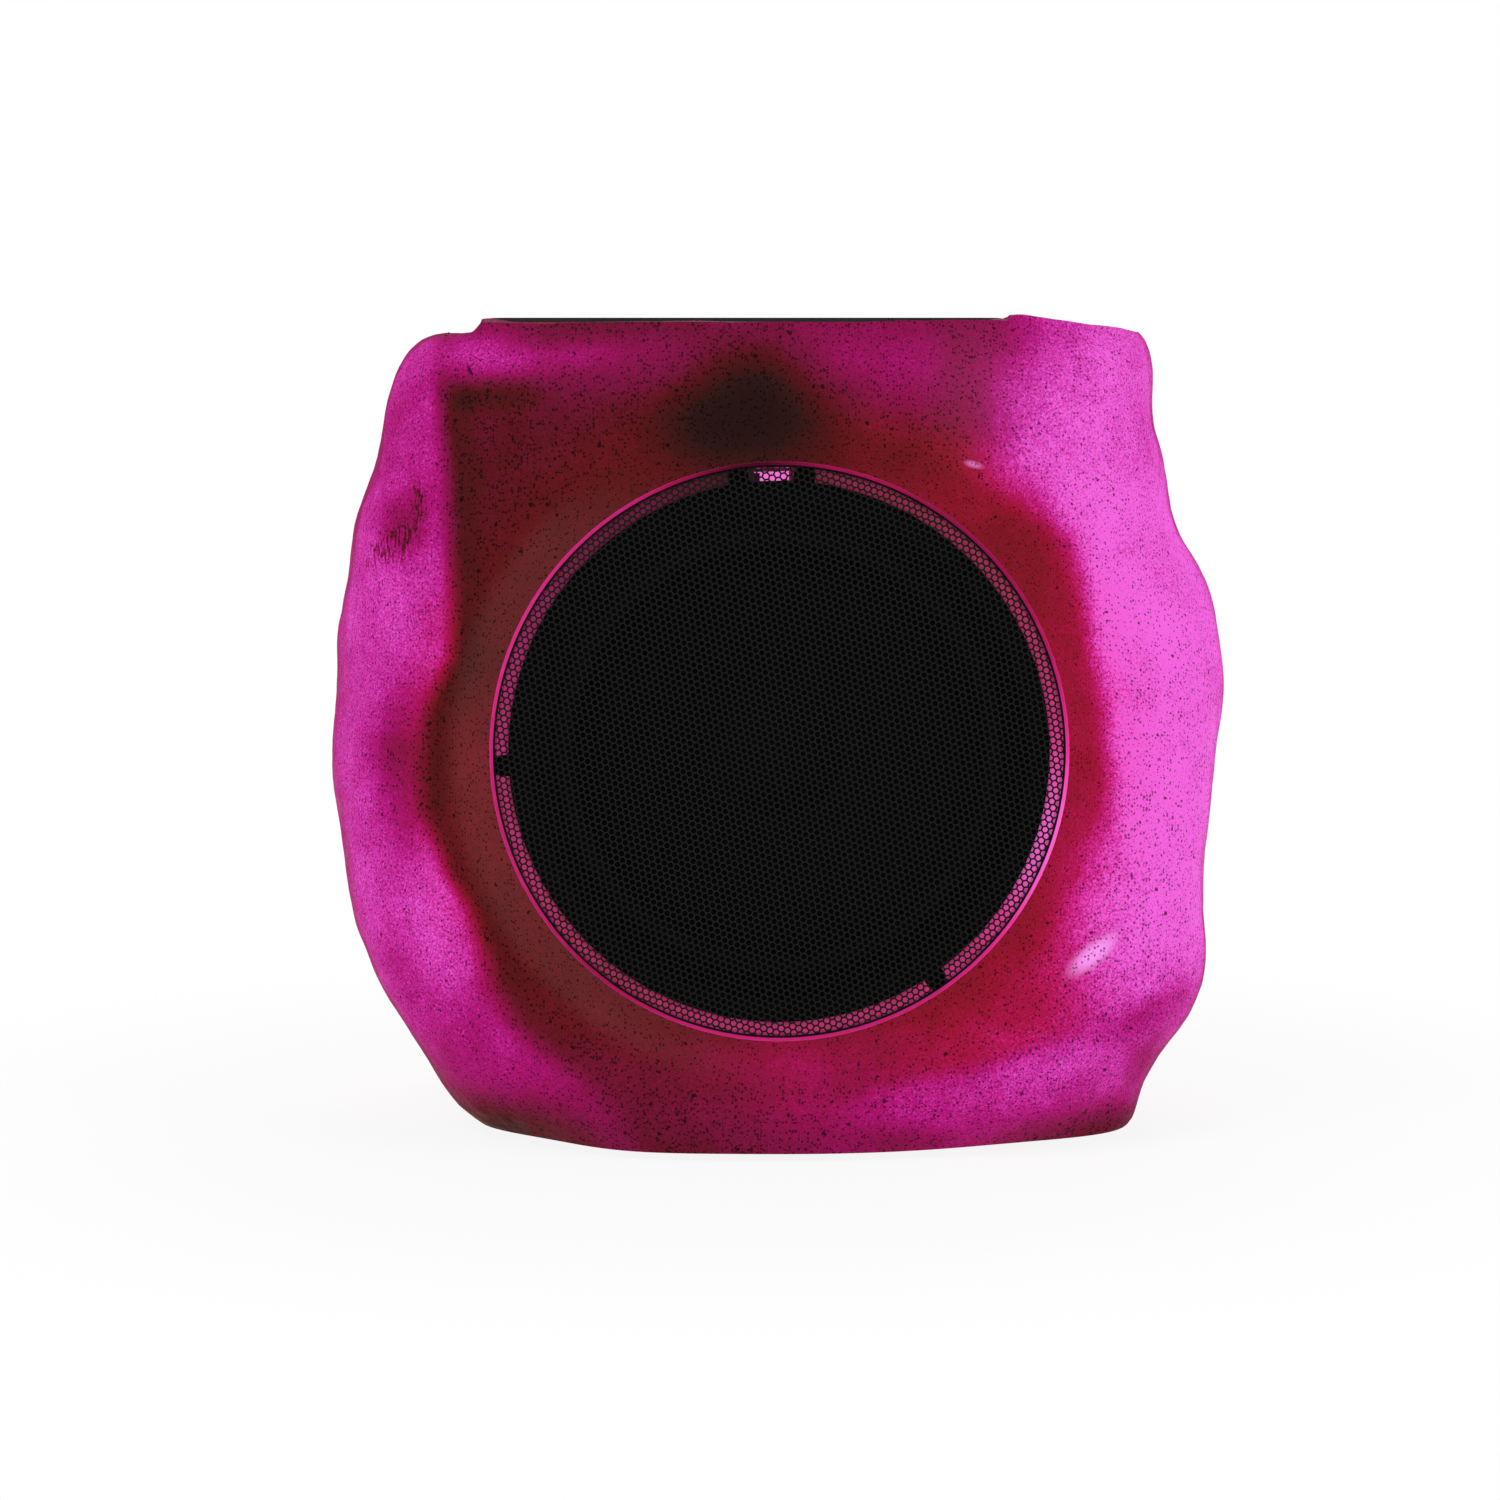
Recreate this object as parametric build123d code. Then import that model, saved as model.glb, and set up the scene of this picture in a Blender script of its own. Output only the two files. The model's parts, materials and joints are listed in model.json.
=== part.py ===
from build123d import *
import math
import os

# Rock shaped garden speaker, in millimetres.
# The origin is on the floor under the middle of the rock. +Z is up and the grille faces -Y.

# Rock shell
rock_width = 279.0
rock_depth = 226.0
rock_height = 254.3  # floor to the ridge beside the solar tray
rim_lift = 2.5  # floor to the shell's open rim
wall = 4.5
pad_rise = 4.3  # the ridge stands this far above the shoulder
pad_drop = 1.4  # and the flat top lies this far below the ridge
pad_step_x = -90.0  # the flat top ends in a step here
pad_step_run = 1.2
pad_slope_x = 76.0  # and the ridge starts to slope down here
pad_slope_run = 38.0
pad_reach = 11.4  # pad's foot below the shoulder
pad_inset = 1.0  # pad's foot inside the rock's face
pad_lean = 6.0  # pad's edge inside that face
front_squareness = 4.0
back_squareness = 2.8
section_points = 22

# Driver opening: the front leans back, and its recess is square to the grille
front_lean = 5.0
grille_x = 1.2
grille_height = 124.0
grille_reach = 102.0  # grille plane in front of the rock's middle
recess_depth = 16.0
bezel_lip = 1.3
bezel_rise = 1.0
bezel_spread = 17.5
bezel_fall = 16.0
ledge_window_angle = 91.5
ledge_window_length = 10.5

# Grille
grille_radius = 86.0
grille_gap = 0.9  # lit gap round the grille
grille_sheet = 0.8
grille_sunk = 1.0
grille_border = 8.0
grille_pitch = 14.6
grille_web = 3.4
grille_turn = 10.0

# Driver frame
flange_radius = 82.0
flange_thickness = 2.0
driver_gasket_thickness = 1.5
basket_radius = 71.0
basket_gap = 2.0
basket_wall = 1.5
basket_depth = 36.5  # flange underside to the floor's underside
spider_shelf_depth = 25.0
spider_shelf_radius = 54.0
motor_cup_radius = 48.5
frame_floor_hole = 22.0
frame_windows = 6
frame_window_width = 32.0
lug_angles = (84.7, 98.5, 183.0, 304.6)
lug_width = 6.5
lug_gap = 0.2
driver_screw_circle = 78.5
driver_screw_count = 4

# Moving parts of the driver
cone_radius = 60.0
cone_rim = 5.0
cone_depth = 23.5
cone_paper = 0.9
cone_flare = 1.15
cone_steps = 4
surround_seat = 5.5
surround_lap = 4.5  # glued on the cone's rim
surround_rubber = 1.0
cap_radius = 20.0
cap_height = 7.0
cap_paper = 0.8
former_radius = 13.1
former_wall = 0.4
winding_depth = 0.7
winding_length = 9.0
coil_gap = 0.4
spider_cloth = 0.6
spider_wave = 1.2
spider_waves = 6
spider_flat = 2.0  # plain cloth before the first wave
former_tail = 1.0  # former below the winding
former_rise = 0.5  # former above the cone's neck
glue_gap = 0.05  # between glued pieces

# Motor
top_plate_thickness = 5.0
plate_radius = 44.0
magnet_radius = 45.0
magnet_hole = 24.0
magnet_thickness = 16.0
back_plate_thickness = 5.0
pole_vent = 3.0
terminal_width = 18.0
terminal_height = 7.0
terminal_stand = 3.0

# Solar tray on the flat top
tray_x = -9.0
tray_y = -2.0
tray_width = 158.0
tray_depth = 112.0
tray_corner = 7.0
tray_flange = 2.6
tray_sunk = 1.95  # pocket in the flat top for the flange
tray_head_sunk = 0.1  # screw heads below the flange's face
tray_border = 6.0  # flange beyond the tray's body
tray_screw_inset = 4.6
tray_wall = 3.0
tray_floor = 2.0
tray_gap = 1.0
solar_gasket_thickness = 0.6
panel_laminate = 3.0
panel_sink = 0.4  # laminate below the flange's face

# Battery box under the tray
battery_x = 3.0
battery_width = 38.0
battery_length = 68.0
battery_height = 37.0
battery_gap = 1.0
battery_wall = 2.0
battery_lid_thickness = 2.0
battery_ear = 4.0
battery_corner = 8.5
lid_screw_bite = 8.0
lid_hole_depth = 10.0
antenna_width = 22.0
antenna_height = 8.0
antenna_tab_width = 4.0
antenna_tab_drop = 30.0
antenna_tab_x = -66.0

# Base
base_thickness = 4.0
base_gap = 0.6
base_rim = 2.0  # base plate beyond a screw's head
boss_radius = 6.0
boss_height = 18.0
boss_hole_depth = 14.4
base_screw_bite = 12.6
boss_web = 6.0
tray_boss_radius = 4.2
tray_boss_depth = 13.5
tray_hole_depth = 11.0
boss_azimuths = (15.0, 165.0, 195.0, 345.0)
foot_azimuths = (52.0, 128.0, 232.0, 308.0)
foot_names = ("foot_rear_right", "foot_rear_left", "foot_front_left", "foot_front_right")
foot_radius = 9.0
foot_inset = 7.0
foot_sole = 7.6
foot_stem = 2.5
foot_tip = 1.5
foot_barb = 0.9

# Rear panel
rear_panel_height = 130.0
rear_panel_width = 96.0
rear_panel_tall = 62.0
rear_panel_thickness = 3.0
rear_panel_corner = 8.0
rear_panel_sunk = 8.5
rear_gasket_thickness = 1.0
rear_lip = 9.0
button_names = ("power_button", "light_button", "link_button", "volume_down_button", "volume_up_button")
button_pitch = 13.0
button_row = 14.0
button_radius = 5.0
button_proud = 1.4
button_travel = 0.8
button_flange = 1.2
lens_radius = 1.6
lens_proud = 0.4
lens_flange = 1.0
lens_gap = 0.05
port_row = -15.0
port_width = 40.0
port_tall = 16.0
port_cover_thickness = 2.2
hinge_knuckle = 1.5
hinge_pin = 0.75
hinge_ear = 3.0
grip_width = 13.0
grip_depth = 2.0
grip_proud = 1.0
aux_offset = 9.0
aux_bore = 1.8
aux_depth = 12.0
aux_barrel = 3.2  # barrel that fills the panel's hole
socket_body = 8.0
charge_mouth_width = 8.6
charge_mouth_tall = 2.8
charge_wall = 0.5
charge_depth = 9.0
charge_margin = 1.0  # panel's hole beyond the mouth
charge_tongue_width = 5.8
charge_tongue = 0.7
charge_tongue_sunk = 1.0

# Main board behind the rear panel
board_post = 13.0
board_post_radius = 3.0
board_thickness = 1.6
board_gap = 1.0
board_screw_inset = 3.5
board_screw_bite = 6.5
switch_side = 6.0
switch_height = 4.3
switch_spare = 1.0  # well left under a pressed stem
stem_radius = 1.7
socket_height = 6.0
lead_socket_width = 6.0
lead_socket_tall = 5.0
lead_socket_places = ((-24.0, 13.0), (12.0, 13.0), (20.0, 13.0), (28.0, 13.0))
shield_place = (17.0, -6.0)
shield_width = 19.0
shield_tall = 13.0
shield_height = 2.4
shield_corner = 1.0
sink_place = (-17.0, -5.0)
sink_width = 24.0
sink_tall = 18.0
sink_base = 2.0
sink_height = 12.0
sink_fins = 6
sink_fin = 1.2
capacitor_places = ((-12.0, 13.0), (0.0, 13.0))
capacitor_radius = 4.0
capacitor_height = 12.0

# Light board on a bracket that stands on the base
light_y = 38.0
light_height = 128.0
light_side = 54.0
light_rows = 3
light_pitch = 16.0
light_chip = 5.0
light_chip_height = 1.6
light_corner = 3.0
light_screw_inset = 4.0
bracket_width = 58.0
bracket_sheet = 1.5
bracket_foot = 24.0
bracket_slot = 5.0

# Leads
lead_width = 3.2
lead_thickness = 1.2
lead_bend = 8.0
socket_run = 14.0  # straight run out of a lead socket
terminal_drop = 20.0
bracket_clear = 16.0  # speaker lead beside the bracket
speaker_lead_front = 40.0
speaker_lead_back = 6.0
speaker_lead_low = 42.0
speaker_lead_high = 66.0
light_lead_run = 16.0
battery_lead_drop = 20.0
battery_lead_side = 12.0
battery_lead_rise = 40.0
solar_lead_inset = 12.0
solar_lead_drop = 40.0
solar_lead_step = (8.0, 6.0)
solar_lead_rise = 50.0

# Fasteners and clearances
screw_radius = 1.35
screw_head = 2.6
screw_head_height = 1.6
screw_crown = 0.95
screw_clearance = 0.25  # in a hole that a screw passes
thread_gap = 0.03  # in a hole that it bites
fit_gap = 0.3  # round a piece laid in a recess
slide_gap = 0.2  # round a piece that travels

# How far the rock reaches at each height: share of the height from rim to shoulder, then the left, right,
# front and back reaches as shares of half the width or half the depth
rock_rows = (
    (0.000, 0.675, 0.813, 0.938, 0.867),
    (0.040, 0.741, 0.841, 0.974, 0.911),
    (0.090, 0.802, 0.890, 0.987, 0.948),
    (0.185, 0.911, 0.973, 0.948, 0.986),
    (0.270, 0.969, 0.972, 0.919, 0.997),
    (0.360, 0.993, 0.979, 0.900, 0.998),
    (0.450, 1.013, 0.996, 0.882, 0.995),
    (0.540, 0.995, 1.014, 0.865, 0.989),
    (0.620, 0.984, 1.009, 0.850, 0.973),
    (0.690, 0.959, 0.981, 0.836, 0.956),
    (0.760, 0.937, 0.918, 0.822, 0.930),
    (0.830, 0.889, 0.882, 0.807, 0.897),
    (0.900, 0.871, 0.859, 0.787, 0.849),
    (0.950, 0.852, 0.858, 0.764, 0.801),
    (0.985, 0.809, 0.845, 0.724, 0.746),
    (1.000, 0.744, 0.826, 0.690, 0.708),
)

# Lumps and hollows of the rock: azimuth, height, bulge, and their spreads in degrees and millimetres
rock_lumps = (
    (222.0, 105.0, -6.0, 16.0, 48.0),
    (206.0, 205.0, 4.0, 14.0, 32.0),
    (236.0, 34.0, -5.0, 16.0, 24.0),
    (320.0, 95.0, 4.0, 15.0, 55.0),
    (332.0, 178.0, -4.0, 15.0, 20.0),
    (318.0, 28.0, -4.0, 15.0, 18.0),
    (42.0, 150.0, 6.0, 18.0, 40.0),
    (135.0, 85.0, -6.0, 18.0, 36.0),
    (140.0, 180.0, 5.0, 17.0, 34.0),
    (40.0, 55.0, -5.0, 18.0, 28.0),
    (308.0, 0.0, -14.0, 15.0, 15.0),
    (231.0, 0.0, -12.0, 13.0, 15.0),
)

# Heights and radii that follow from those sizes
shoulder_height = rock_height - pad_rise
pad_height = rock_height - pad_drop
tray_seat = pad_height - tray_sunk
ridge_x = tray_x + tray_width / 2 + 2 * fit_gap
recess_radius = grille_radius + grille_gap
well_radius = recess_radius + wall
bezel_radius = recess_radius + bezel_lip
ledge_radius = basket_radius + basket_gap
ledge_z = -recess_depth
flange_under = ledge_z + driver_gasket_thickness
flange_top = flange_under + flange_thickness
frame_floor = flange_under - basket_depth
shelf_under = flange_under - spider_shelf_depth
shelf_top = shelf_under + basket_wall
basket_bore = basket_radius - basket_wall
top_plate_under = frame_floor - top_plate_thickness
magnet_under = top_plate_under - magnet_thickness
motor_back = magnet_under - back_plate_thickness
winding_radius = former_radius + winding_depth
gap_radius = winding_radius + coil_gap
pole_radius = former_radius - former_wall - coil_gap
neck_z = flange_top - cone_depth
gap_middle = frame_floor - top_plate_thickness / 2
base_top = rim_lift + base_thickness

tray_body_width = tray_width - 2 * tray_border
tray_body_depth = tray_depth - 2 * tray_border
flange_face = solar_gasket_thickness + tray_flange
tray_screw_seat = flange_face - screw_head_height - tray_head_sunk
laminate_top = flange_face - panel_sink
tray_floor_top = laminate_top - panel_laminate
tray_under = tray_floor_top - tray_floor
battery_box_width = battery_width + 2 * (battery_gap + battery_wall)
battery_box_length = battery_length + 2 * (battery_gap + battery_wall)
lid_screw_y = battery_box_length / 2 + battery_ear / 2
battery_y = lid_screw_y + battery_ear + tray_gap - tray_body_depth / 2
battery_box_under = tray_under - battery_height - battery_gap
antenna_y = -tray_body_depth / 2 + bracket_sheet
neck_radius = former_radius + glue_gap
cone_edge = cone_radius - cone_rim

panel_inside = rear_gasket_thickness
panel_face = panel_inside + rear_panel_thickness
opening_width = rear_panel_width - 2 * rear_lip
opening_tall = rear_panel_tall - 2 * rear_lip
board_width = opening_width - 2 * board_gap
board_tall = opening_tall - 2 * board_gap
board_face = panel_inside - board_post
board_back = board_face - board_thickness
hinge_z = panel_face + slide_gap + hinge_knuckle
hinge_y = port_row - port_tall / 2
lead_face = board_back - socket_height
aux_mouth = panel_face - slide_gap
socket_front = panel_inside - slide_gap / 2
switch_top = board_face + switch_height
switch_well = switch_top - button_travel - switch_spare


# Helpers


def block(x, y, z):
    """Box between two limits on each axis."""
    limits = (x, y, z)
    size = [high - low for low, high in limits]
    middle = [(low + high) / 2 for low, high in limits]
    return Pos(*middle) * Box(*size)


def rod(x, y, low, high, radius):
    """Cylinder along Z between two heights."""
    return Pos(x, y, (low + high) / 2) * Cylinder(radius, high - low)


def ring(inner, outer, low, high):
    """Flat ring about Z between two heights."""
    return rod(0, 0, low, high, outer) - rod(0, 0, low, high, inner)


def turned(*points):
    """Solid of revolution about Z from radius and height points."""
    return revolve(Plane.XZ * make_face(Polyline(*points, close=True)), Axis.Z)


def plate(width, depth, corner, low, high):
    """Rectangular plate with round corners between two heights."""
    return Pos(0, 0, low) * extrude(RectangleRounded(width, depth, corner), high - low)


def screw(x, y, face, length):
    """Pan head screw, with its head's underside on a face and its shank going down."""
    head = rod(x, y, face, face + screw_head_height, screw_head)
    crown = head.edges().group_by(Axis.Z)[-1]
    head = fillet(crown, screw_crown)
    return head + rod(x, y, face - length, face, screw_radius)


def pass_hole(x, y, low, high):
    """Hole that a screw passes freely."""
    return rod(x, y, low, high, screw_radius + screw_clearance)


def thread_hole(x, y, low, high):
    """Hole that a screw bites."""
    return rod(x, y, low, high, screw_radius + thread_gap)


def corners(width, depth, inset):
    """Four corner places of a rectangle, set in from its sides."""
    across = width / 2 - inset
    along = depth / 2 - inset
    return [(x, y) for x in (-across, across) for y in (-along, along)]


def on_circle(radius, angle):
    return radius * math.cos(math.radians(angle)), radius * math.sin(math.radians(angle))


# The rock's form


def row_at(height):
    """Left, right, front and back reach shares at one height."""
    share = (height - rim_lift) / (shoulder_height - rim_lift)
    share = min(max(share, 0.0), 1.0)
    for low, high in zip(rock_rows, rock_rows[1:]):
        if share <= high[0]:
            part = (share - low[0]) / (high[0] - low[0])
            return [a + part * (b - a) for a, b in zip(low[1:], high[1:])]
    return list(rock_rows[-1][1:])


def wall_reach(azimuth, height, inset=0.0):
    """Distance from the middle axis to the rock's face, or to a face set in from it."""
    left, right, front, back = row_at(height)
    cosine = math.cos(math.radians(azimuth))
    sine = math.sin(math.radians(azimuth))
    across = (right if cosine > 0 else left) * rock_width / 2 - inset
    along = (back if sine > 0 else front) * rock_depth / 2 - inset
    power = back_squareness if sine > 0 else front_squareness
    reach = ((abs(cosine) / across) ** power + (abs(sine) / along) ** power) ** (-1 / power)
    for lump_azimuth, lump_height, bulge, spread, tall in rock_lumps:
        turn = (azimuth - lump_azimuth + 180) % 360 - 180
        reach += bulge * math.exp(-((turn / spread) ** 2) - ((height - lump_height) / tall) ** 2)
    return reach


def rock_section(height, inset, place):
    """Level section of the rock's form at one height, put at another height if it is set in."""
    points = []
    for index in range(section_points):
        azimuth = 360 * index / section_points
        x, y = on_circle(wall_reach(azimuth, height, inset), azimuth)
        points.append((x, y, place))
    return make_face(Spline(*points, periodic=True))


def rock_form(inset, low, high):
    """Closed form of the whole rock, set in by a wall and fitted between two heights."""
    sections = []
    for row in rock_rows:
        height = rim_lift + row[0] * (shoulder_height - rim_lift)
        sections.append(rock_section(height, inset, low + row[0] * (high - low)))
    return loft(sections)


def boss_place(azimuth):
    """A base screw's place, just inside the wall."""
    reach = wall_reach(azimuth, rim_lift, wall + base_gap)
    return on_circle(reach - screw_head - base_rim, azimuth)


def foot_place(azimuth):
    reach = wall_reach(azimuth, rim_lift, wall + base_gap)
    return on_circle(reach - foot_radius - foot_inset, azimuth)


# Frames that the front, rear, top and light pieces are made in

lean = math.radians(front_lean)
front = Plane((grille_x, -grille_reach, grille_height), (1, 0, 0), (0, -math.cos(lean), math.sin(lean)))
panel_seat = wall_reach(90, rear_panel_height) - rear_panel_sunk
rear = Plane((0, panel_seat, rear_panel_height), (-1, 0, 0), (0, 1, 0))
top = Plane((tray_x, tray_y, tray_seat), (1, 0, 0), (0, 0, 1))
light = Plane((grille_x, light_y, light_height), (1, 0, 0), (0, -1, 0))

driver_screw_step = 360 / driver_screw_count
driver_screw_places = [
    on_circle(driver_screw_circle, (index + 0.5) * driver_screw_step) for index in range(driver_screw_count)
]
solar_screw_places = corners(tray_width, tray_depth, tray_screw_inset)
panel_screw_places = corners(rear_panel_width, rear_panel_tall, rear_lip / 2)
board_screw_places = corners(board_width, board_tall, board_screw_inset)
light_screw_places = corners(light_side, light_side, light_screw_inset)
first_button = -(len(button_names) - 1) / 2 * button_pitch
button_places = [(first_button + index * button_pitch, button_row) for index in range(len(button_names))]
lid_screw_places = [(battery_x, battery_y - lid_screw_y), (battery_x, battery_y + lid_screw_y)]
bracket_screw_places = [
    (grille_x + side * bracket_width / 4, light_y + bracket_sheet + bracket_foot / 2) for side in (-1, 1)
]


# Shell


def top_pad():
    """Flat top for the solar tray, with a step at its left, and a ridge that slopes down at its right."""
    low = shoulder_height - pad_reach
    form = loft([
        rock_section(low, pad_inset, low),
        rock_section(low, pad_lean, rock_height),
    ], ruled=True)
    half = rock_depth / 2
    profile = Polyline(
        (pad_step_x - pad_step_run, low),
        (pad_step_x, pad_height),
        (ridge_x, pad_height),
        (ridge_x + pad_drop / 2, rock_height),
        (pad_slope_x, rock_height),
        (pad_slope_x + pad_slope_run, shoulder_height),
        (pad_slope_x + pad_slope_run, low),
        close=True,
    )
    side = Plane.XZ * make_face(profile)
    return form & extrude(side, half, both=True)


def rock_cavity():
    """Space inside the shell: the set-in form, less the well, seats and bosses that stay solid."""
    space = rock_form(wall, rim_lift - 1.0, shoulder_height - wall)
    well = front * rod(0, 0, ledge_z - wall, grille_reach / 2, well_radius)
    panel_frame = rear * plate(
        rear_panel_width + 2 * (fit_gap + wall),
        rear_panel_tall + 2 * (fit_gap + wall),
        rear_panel_corner + wall,
        -wall,
        rear_panel_sunk * 3,
    )
    kept = [well, panel_frame]
    for x, y in solar_screw_places:
        kept.append(top * rod(x, y, -tray_boss_depth, 0, tray_boss_radius))
    boss_top = base_top + boss_height
    boss = rod(0, 0, base_top, boss_top, boss_radius)
    boss += block((0, 5 * boss_radius), (-boss_web / 2, boss_web / 2), (base_top, boss_top))
    for azimuth in boss_azimuths:
        x, y = boss_place(azimuth)
        kept.append(Pos(x, y, 0) * Rot(Z=azimuth) * boss)
    return space - kept


def rock_shell():
    bezel = turned(
        (0, bezel_rise),
        (bezel_radius, bezel_rise),
        (bezel_radius + bezel_spread, bezel_rise - bezel_fall),
        (0, bezel_rise - bezel_fall),
    )
    body = rock_form(0.0, rim_lift, shoulder_height) + [front * bezel, top_pad()]

    # Driver recess, its ledge and the lit window in the ledge
    recess = rod(0, 0, ledge_z, recess_depth * 2, recess_radius)
    recess += rod(0, 0, ledge_z - 2 * wall, recess_depth, ledge_radius)
    window = block(
        (flange_radius + lug_gap, grille_radius - grille_sheet - lug_gap),
        (-ledge_window_length / 2, ledge_window_length / 2),
        (ledge_z - 2 * wall, ledge_z + wall),
    )
    recess += Rot(Z=ledge_window_angle) * window
    recess += [thread_hole(x, y, ledge_z - 2 * wall, ledge_z + wall) for x, y in driver_screw_places]

    # Rear panel's recess and opening
    rear_recess = plate(
        rear_panel_width + 2 * fit_gap,
        rear_panel_tall + 2 * fit_gap,
        rear_panel_corner + fit_gap,
        0,
        rear_panel_sunk * 3,
    )
    rear_recess += plate(opening_width, opening_tall, rear_panel_corner / 2, -2 * wall, wall)
    rear_recess += [thread_hole(x, y, -2 * wall, wall) for x, y in panel_screw_places]

    # Pocket for the tray's flange, opening for its body, and the screw holes at the top and the base
    tray_opening = plate(
        tray_width + 2 * fit_gap,
        tray_depth + 2 * fit_gap,
        tray_corner + fit_gap,
        0,
        tray_sunk + wall,
    )
    tray_opening += plate(
        tray_body_width + 2 * tray_gap,
        tray_body_depth + 2 * tray_gap,
        tray_corner,
        -pad_rise - 2 * wall,
        wall,
    )
    tray_opening += [thread_hole(x, y, -tray_hole_depth, wall) for x, y in solar_screw_places]
    base_holes = []
    for azimuth in boss_azimuths:
        x, y = boss_place(azimuth)
        base_holes.append(thread_hole(x, y, base_top, base_top + boss_hole_depth))
    return body - [rock_cavity(), front * recess, rear * rear_recess, top * tray_opening] - base_holes


# Grille and driver


def grille():
    """Steel cup with a perforated face; its skirt stands on the recess's ledge."""
    face = Circle(grille_radius)
    limit = grille_radius - grille_border
    hole = RegularPolygon((grille_pitch - grille_web) / math.sqrt(3), 6)
    count = math.ceil(limit / grille_pitch) + 2
    places = []
    for row in range(-count, count + 1):
        for column in range(-2 * count, 2 * count + 1):
            x = grille_pitch * (column + row / 2)
            y = grille_pitch * row * math.sqrt(3) / 2
            if math.hypot(x, y) < limit - grille_pitch / 2:
                places.append(Pos(x, y))
    face -= [place * Rot(Z=30) * hole for place in places]
    sheet = Rot(Z=30 + grille_turn) * extrude(face, grille_sheet)
    sheet = Pos(0, 0, -grille_sunk - grille_sheet) * sheet
    skirt = ring(grille_radius - grille_sheet, grille_radius, ledge_z, -grille_sunk)
    return front * (sheet + skirt)


def driver_gasket():
    seal = ring(ledge_radius, flange_radius - 0.5, ledge_z, flange_under)
    for x, y in driver_screw_places:
        seal -= pass_hole(x, y, ledge_z, flange_under)
    return front * seal


def driver_frame():
    """Pressed steel basket: flange with lugs, windowed cone, spider shelf and motor cup."""
    basket = turned(
        (flange_radius, flange_top),
        (flange_radius, flange_under),
        (basket_radius, flange_under),
        (spider_shelf_radius, shelf_under),
        (motor_cup_radius, shelf_under),
        (motor_cup_radius, frame_floor),
        (frame_floor_hole, frame_floor),
        (frame_floor_hole, frame_floor + basket_wall),
        (motor_cup_radius - basket_wall, frame_floor + basket_wall),
        (motor_cup_radius - basket_wall, shelf_top),
        (spider_shelf_radius - basket_wall, shelf_top),
        (basket_bore, flange_under),
        (basket_bore, flange_top),
    )
    window = block(
        (motor_cup_radius, flange_radius),
        (-frame_window_width / 2, frame_window_width / 2),
        (shelf_top + 3 * basket_wall, flange_under - 2 * basket_wall),
    )
    for index in range(frame_windows):
        basket -= Rot(Z=360 * index / frame_windows) * window
    lug_reach = grille_radius - grille_sheet - lug_gap
    lug = block(
        (driver_screw_circle, lug_reach),
        (-lug_width / 2, lug_width / 2),
        (flange_under, flange_top),
    )
    for angle in lug_angles:
        basket += Rot(Z=angle) * lug
    for x, y in driver_screw_places:
        basket -= pass_hole(x, y, flange_under, flange_top)
    return front * basket


def driver_screws():
    length = flange_top - ledge_z + wall
    return [front * screw(x, y, flange_top, length) for x, y in driver_screw_places]


def surround():
    """Rubber half roll between the frame's flange and the cone's rim."""
    outer = basket_bore + surround_seat
    inner = cone_radius - surround_lap
    roll_in = cone_radius
    roll_out = basket_bore
    middle = (roll_in + roll_out) / 2
    radius = (roll_out - roll_in) / 2
    low = flange_top
    high = flange_top + surround_rubber
    outline = [
        Line((inner, low), (roll_in + surround_rubber, low)),
        ThreePointArc(
            (roll_in + surround_rubber, low),
            (middle, low + radius - surround_rubber),
            (roll_out - surround_rubber, low),
        ),
        Line((roll_out - surround_rubber, low), (outer, low)),
        Line((outer, low), (outer, high)),
        Line((outer, high), (roll_out, high)),
        ThreePointArc((roll_out, high), (middle, low + radius), (roll_in, high)),
        Line((roll_in, high), (inner, high)),
        Line((inner, high), (inner, low)),
    ]
    return front * revolve(Plane.XZ * make_face(outline), Axis.Z)


def cone_face():
    """Radius and height points of the cone's front face, which flares from its neck to its rim."""
    points = []
    for step in range(cone_steps + 1):
        share = step / cone_steps
        radius = neck_radius + (cone_edge - neck_radius) * share
        points.append((radius, neck_z + cone_depth * share**cone_flare))
    return points + [(cone_radius, flange_top)]


def cone_height(radius):
    """Height of the cone's front face at one radius."""
    face = cone_face()
    for (near, low), (far, high) in zip(face, face[1:]):
        if radius <= far:
            return low + (high - low) * (radius - near) / (far - near)
    return flange_top


def cone():
    face = cone_face()
    back = [(radius, height - cone_paper) for radius, height in reversed(face)]
    return front * turned(*face, *back)


def dust_cap():
    """Paper dome glued on the cone."""
    edge = cone_height(cap_radius) + glue_gap
    radius = (cap_radius**2 + cap_height**2) / (2 * cap_height)
    dome = Sphere(radius) - Sphere(radius - cap_paper)
    dome = Pos(0, 0, edge + cap_height - radius) * dome
    return front * (dome & rod(0, 0, edge, edge + 2 * cap_height, 2 * cap_radius))


def voice_coil():
    low = gap_middle - winding_length / 2
    former = ring(former_radius - former_wall, former_radius, low - former_tail, neck_z + former_rise)
    winding = ring(former_radius, winding_radius, low, low + winding_length)
    return front * (former + winding)


def spider():
    """Corrugated cloth disc between the frame's shelf and the coil's former."""
    low = shelf_top
    wave_from = former_radius + spider_flat
    wave_to = motor_cup_radius - 2 * basket_wall
    face = [(neck_radius, low)]
    steps = 2 * spider_waves
    for step in range(steps + 1):
        radius = wave_from + (wave_to - wave_from) * step / steps
        face.append((radius, low + (spider_wave if step % 2 else 0)))
    face.append((spider_shelf_radius - basket_wall - 1.0, low))
    over = [(radius, height + spider_cloth) for radius, height in reversed(face)]
    return front * turned(*face, *over)


def top_plate():
    return front * ring(gap_radius, plate_radius, top_plate_under, frame_floor)


def magnet():
    return front * ring(magnet_hole, magnet_radius, magnet_under, top_plate_under)


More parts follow.
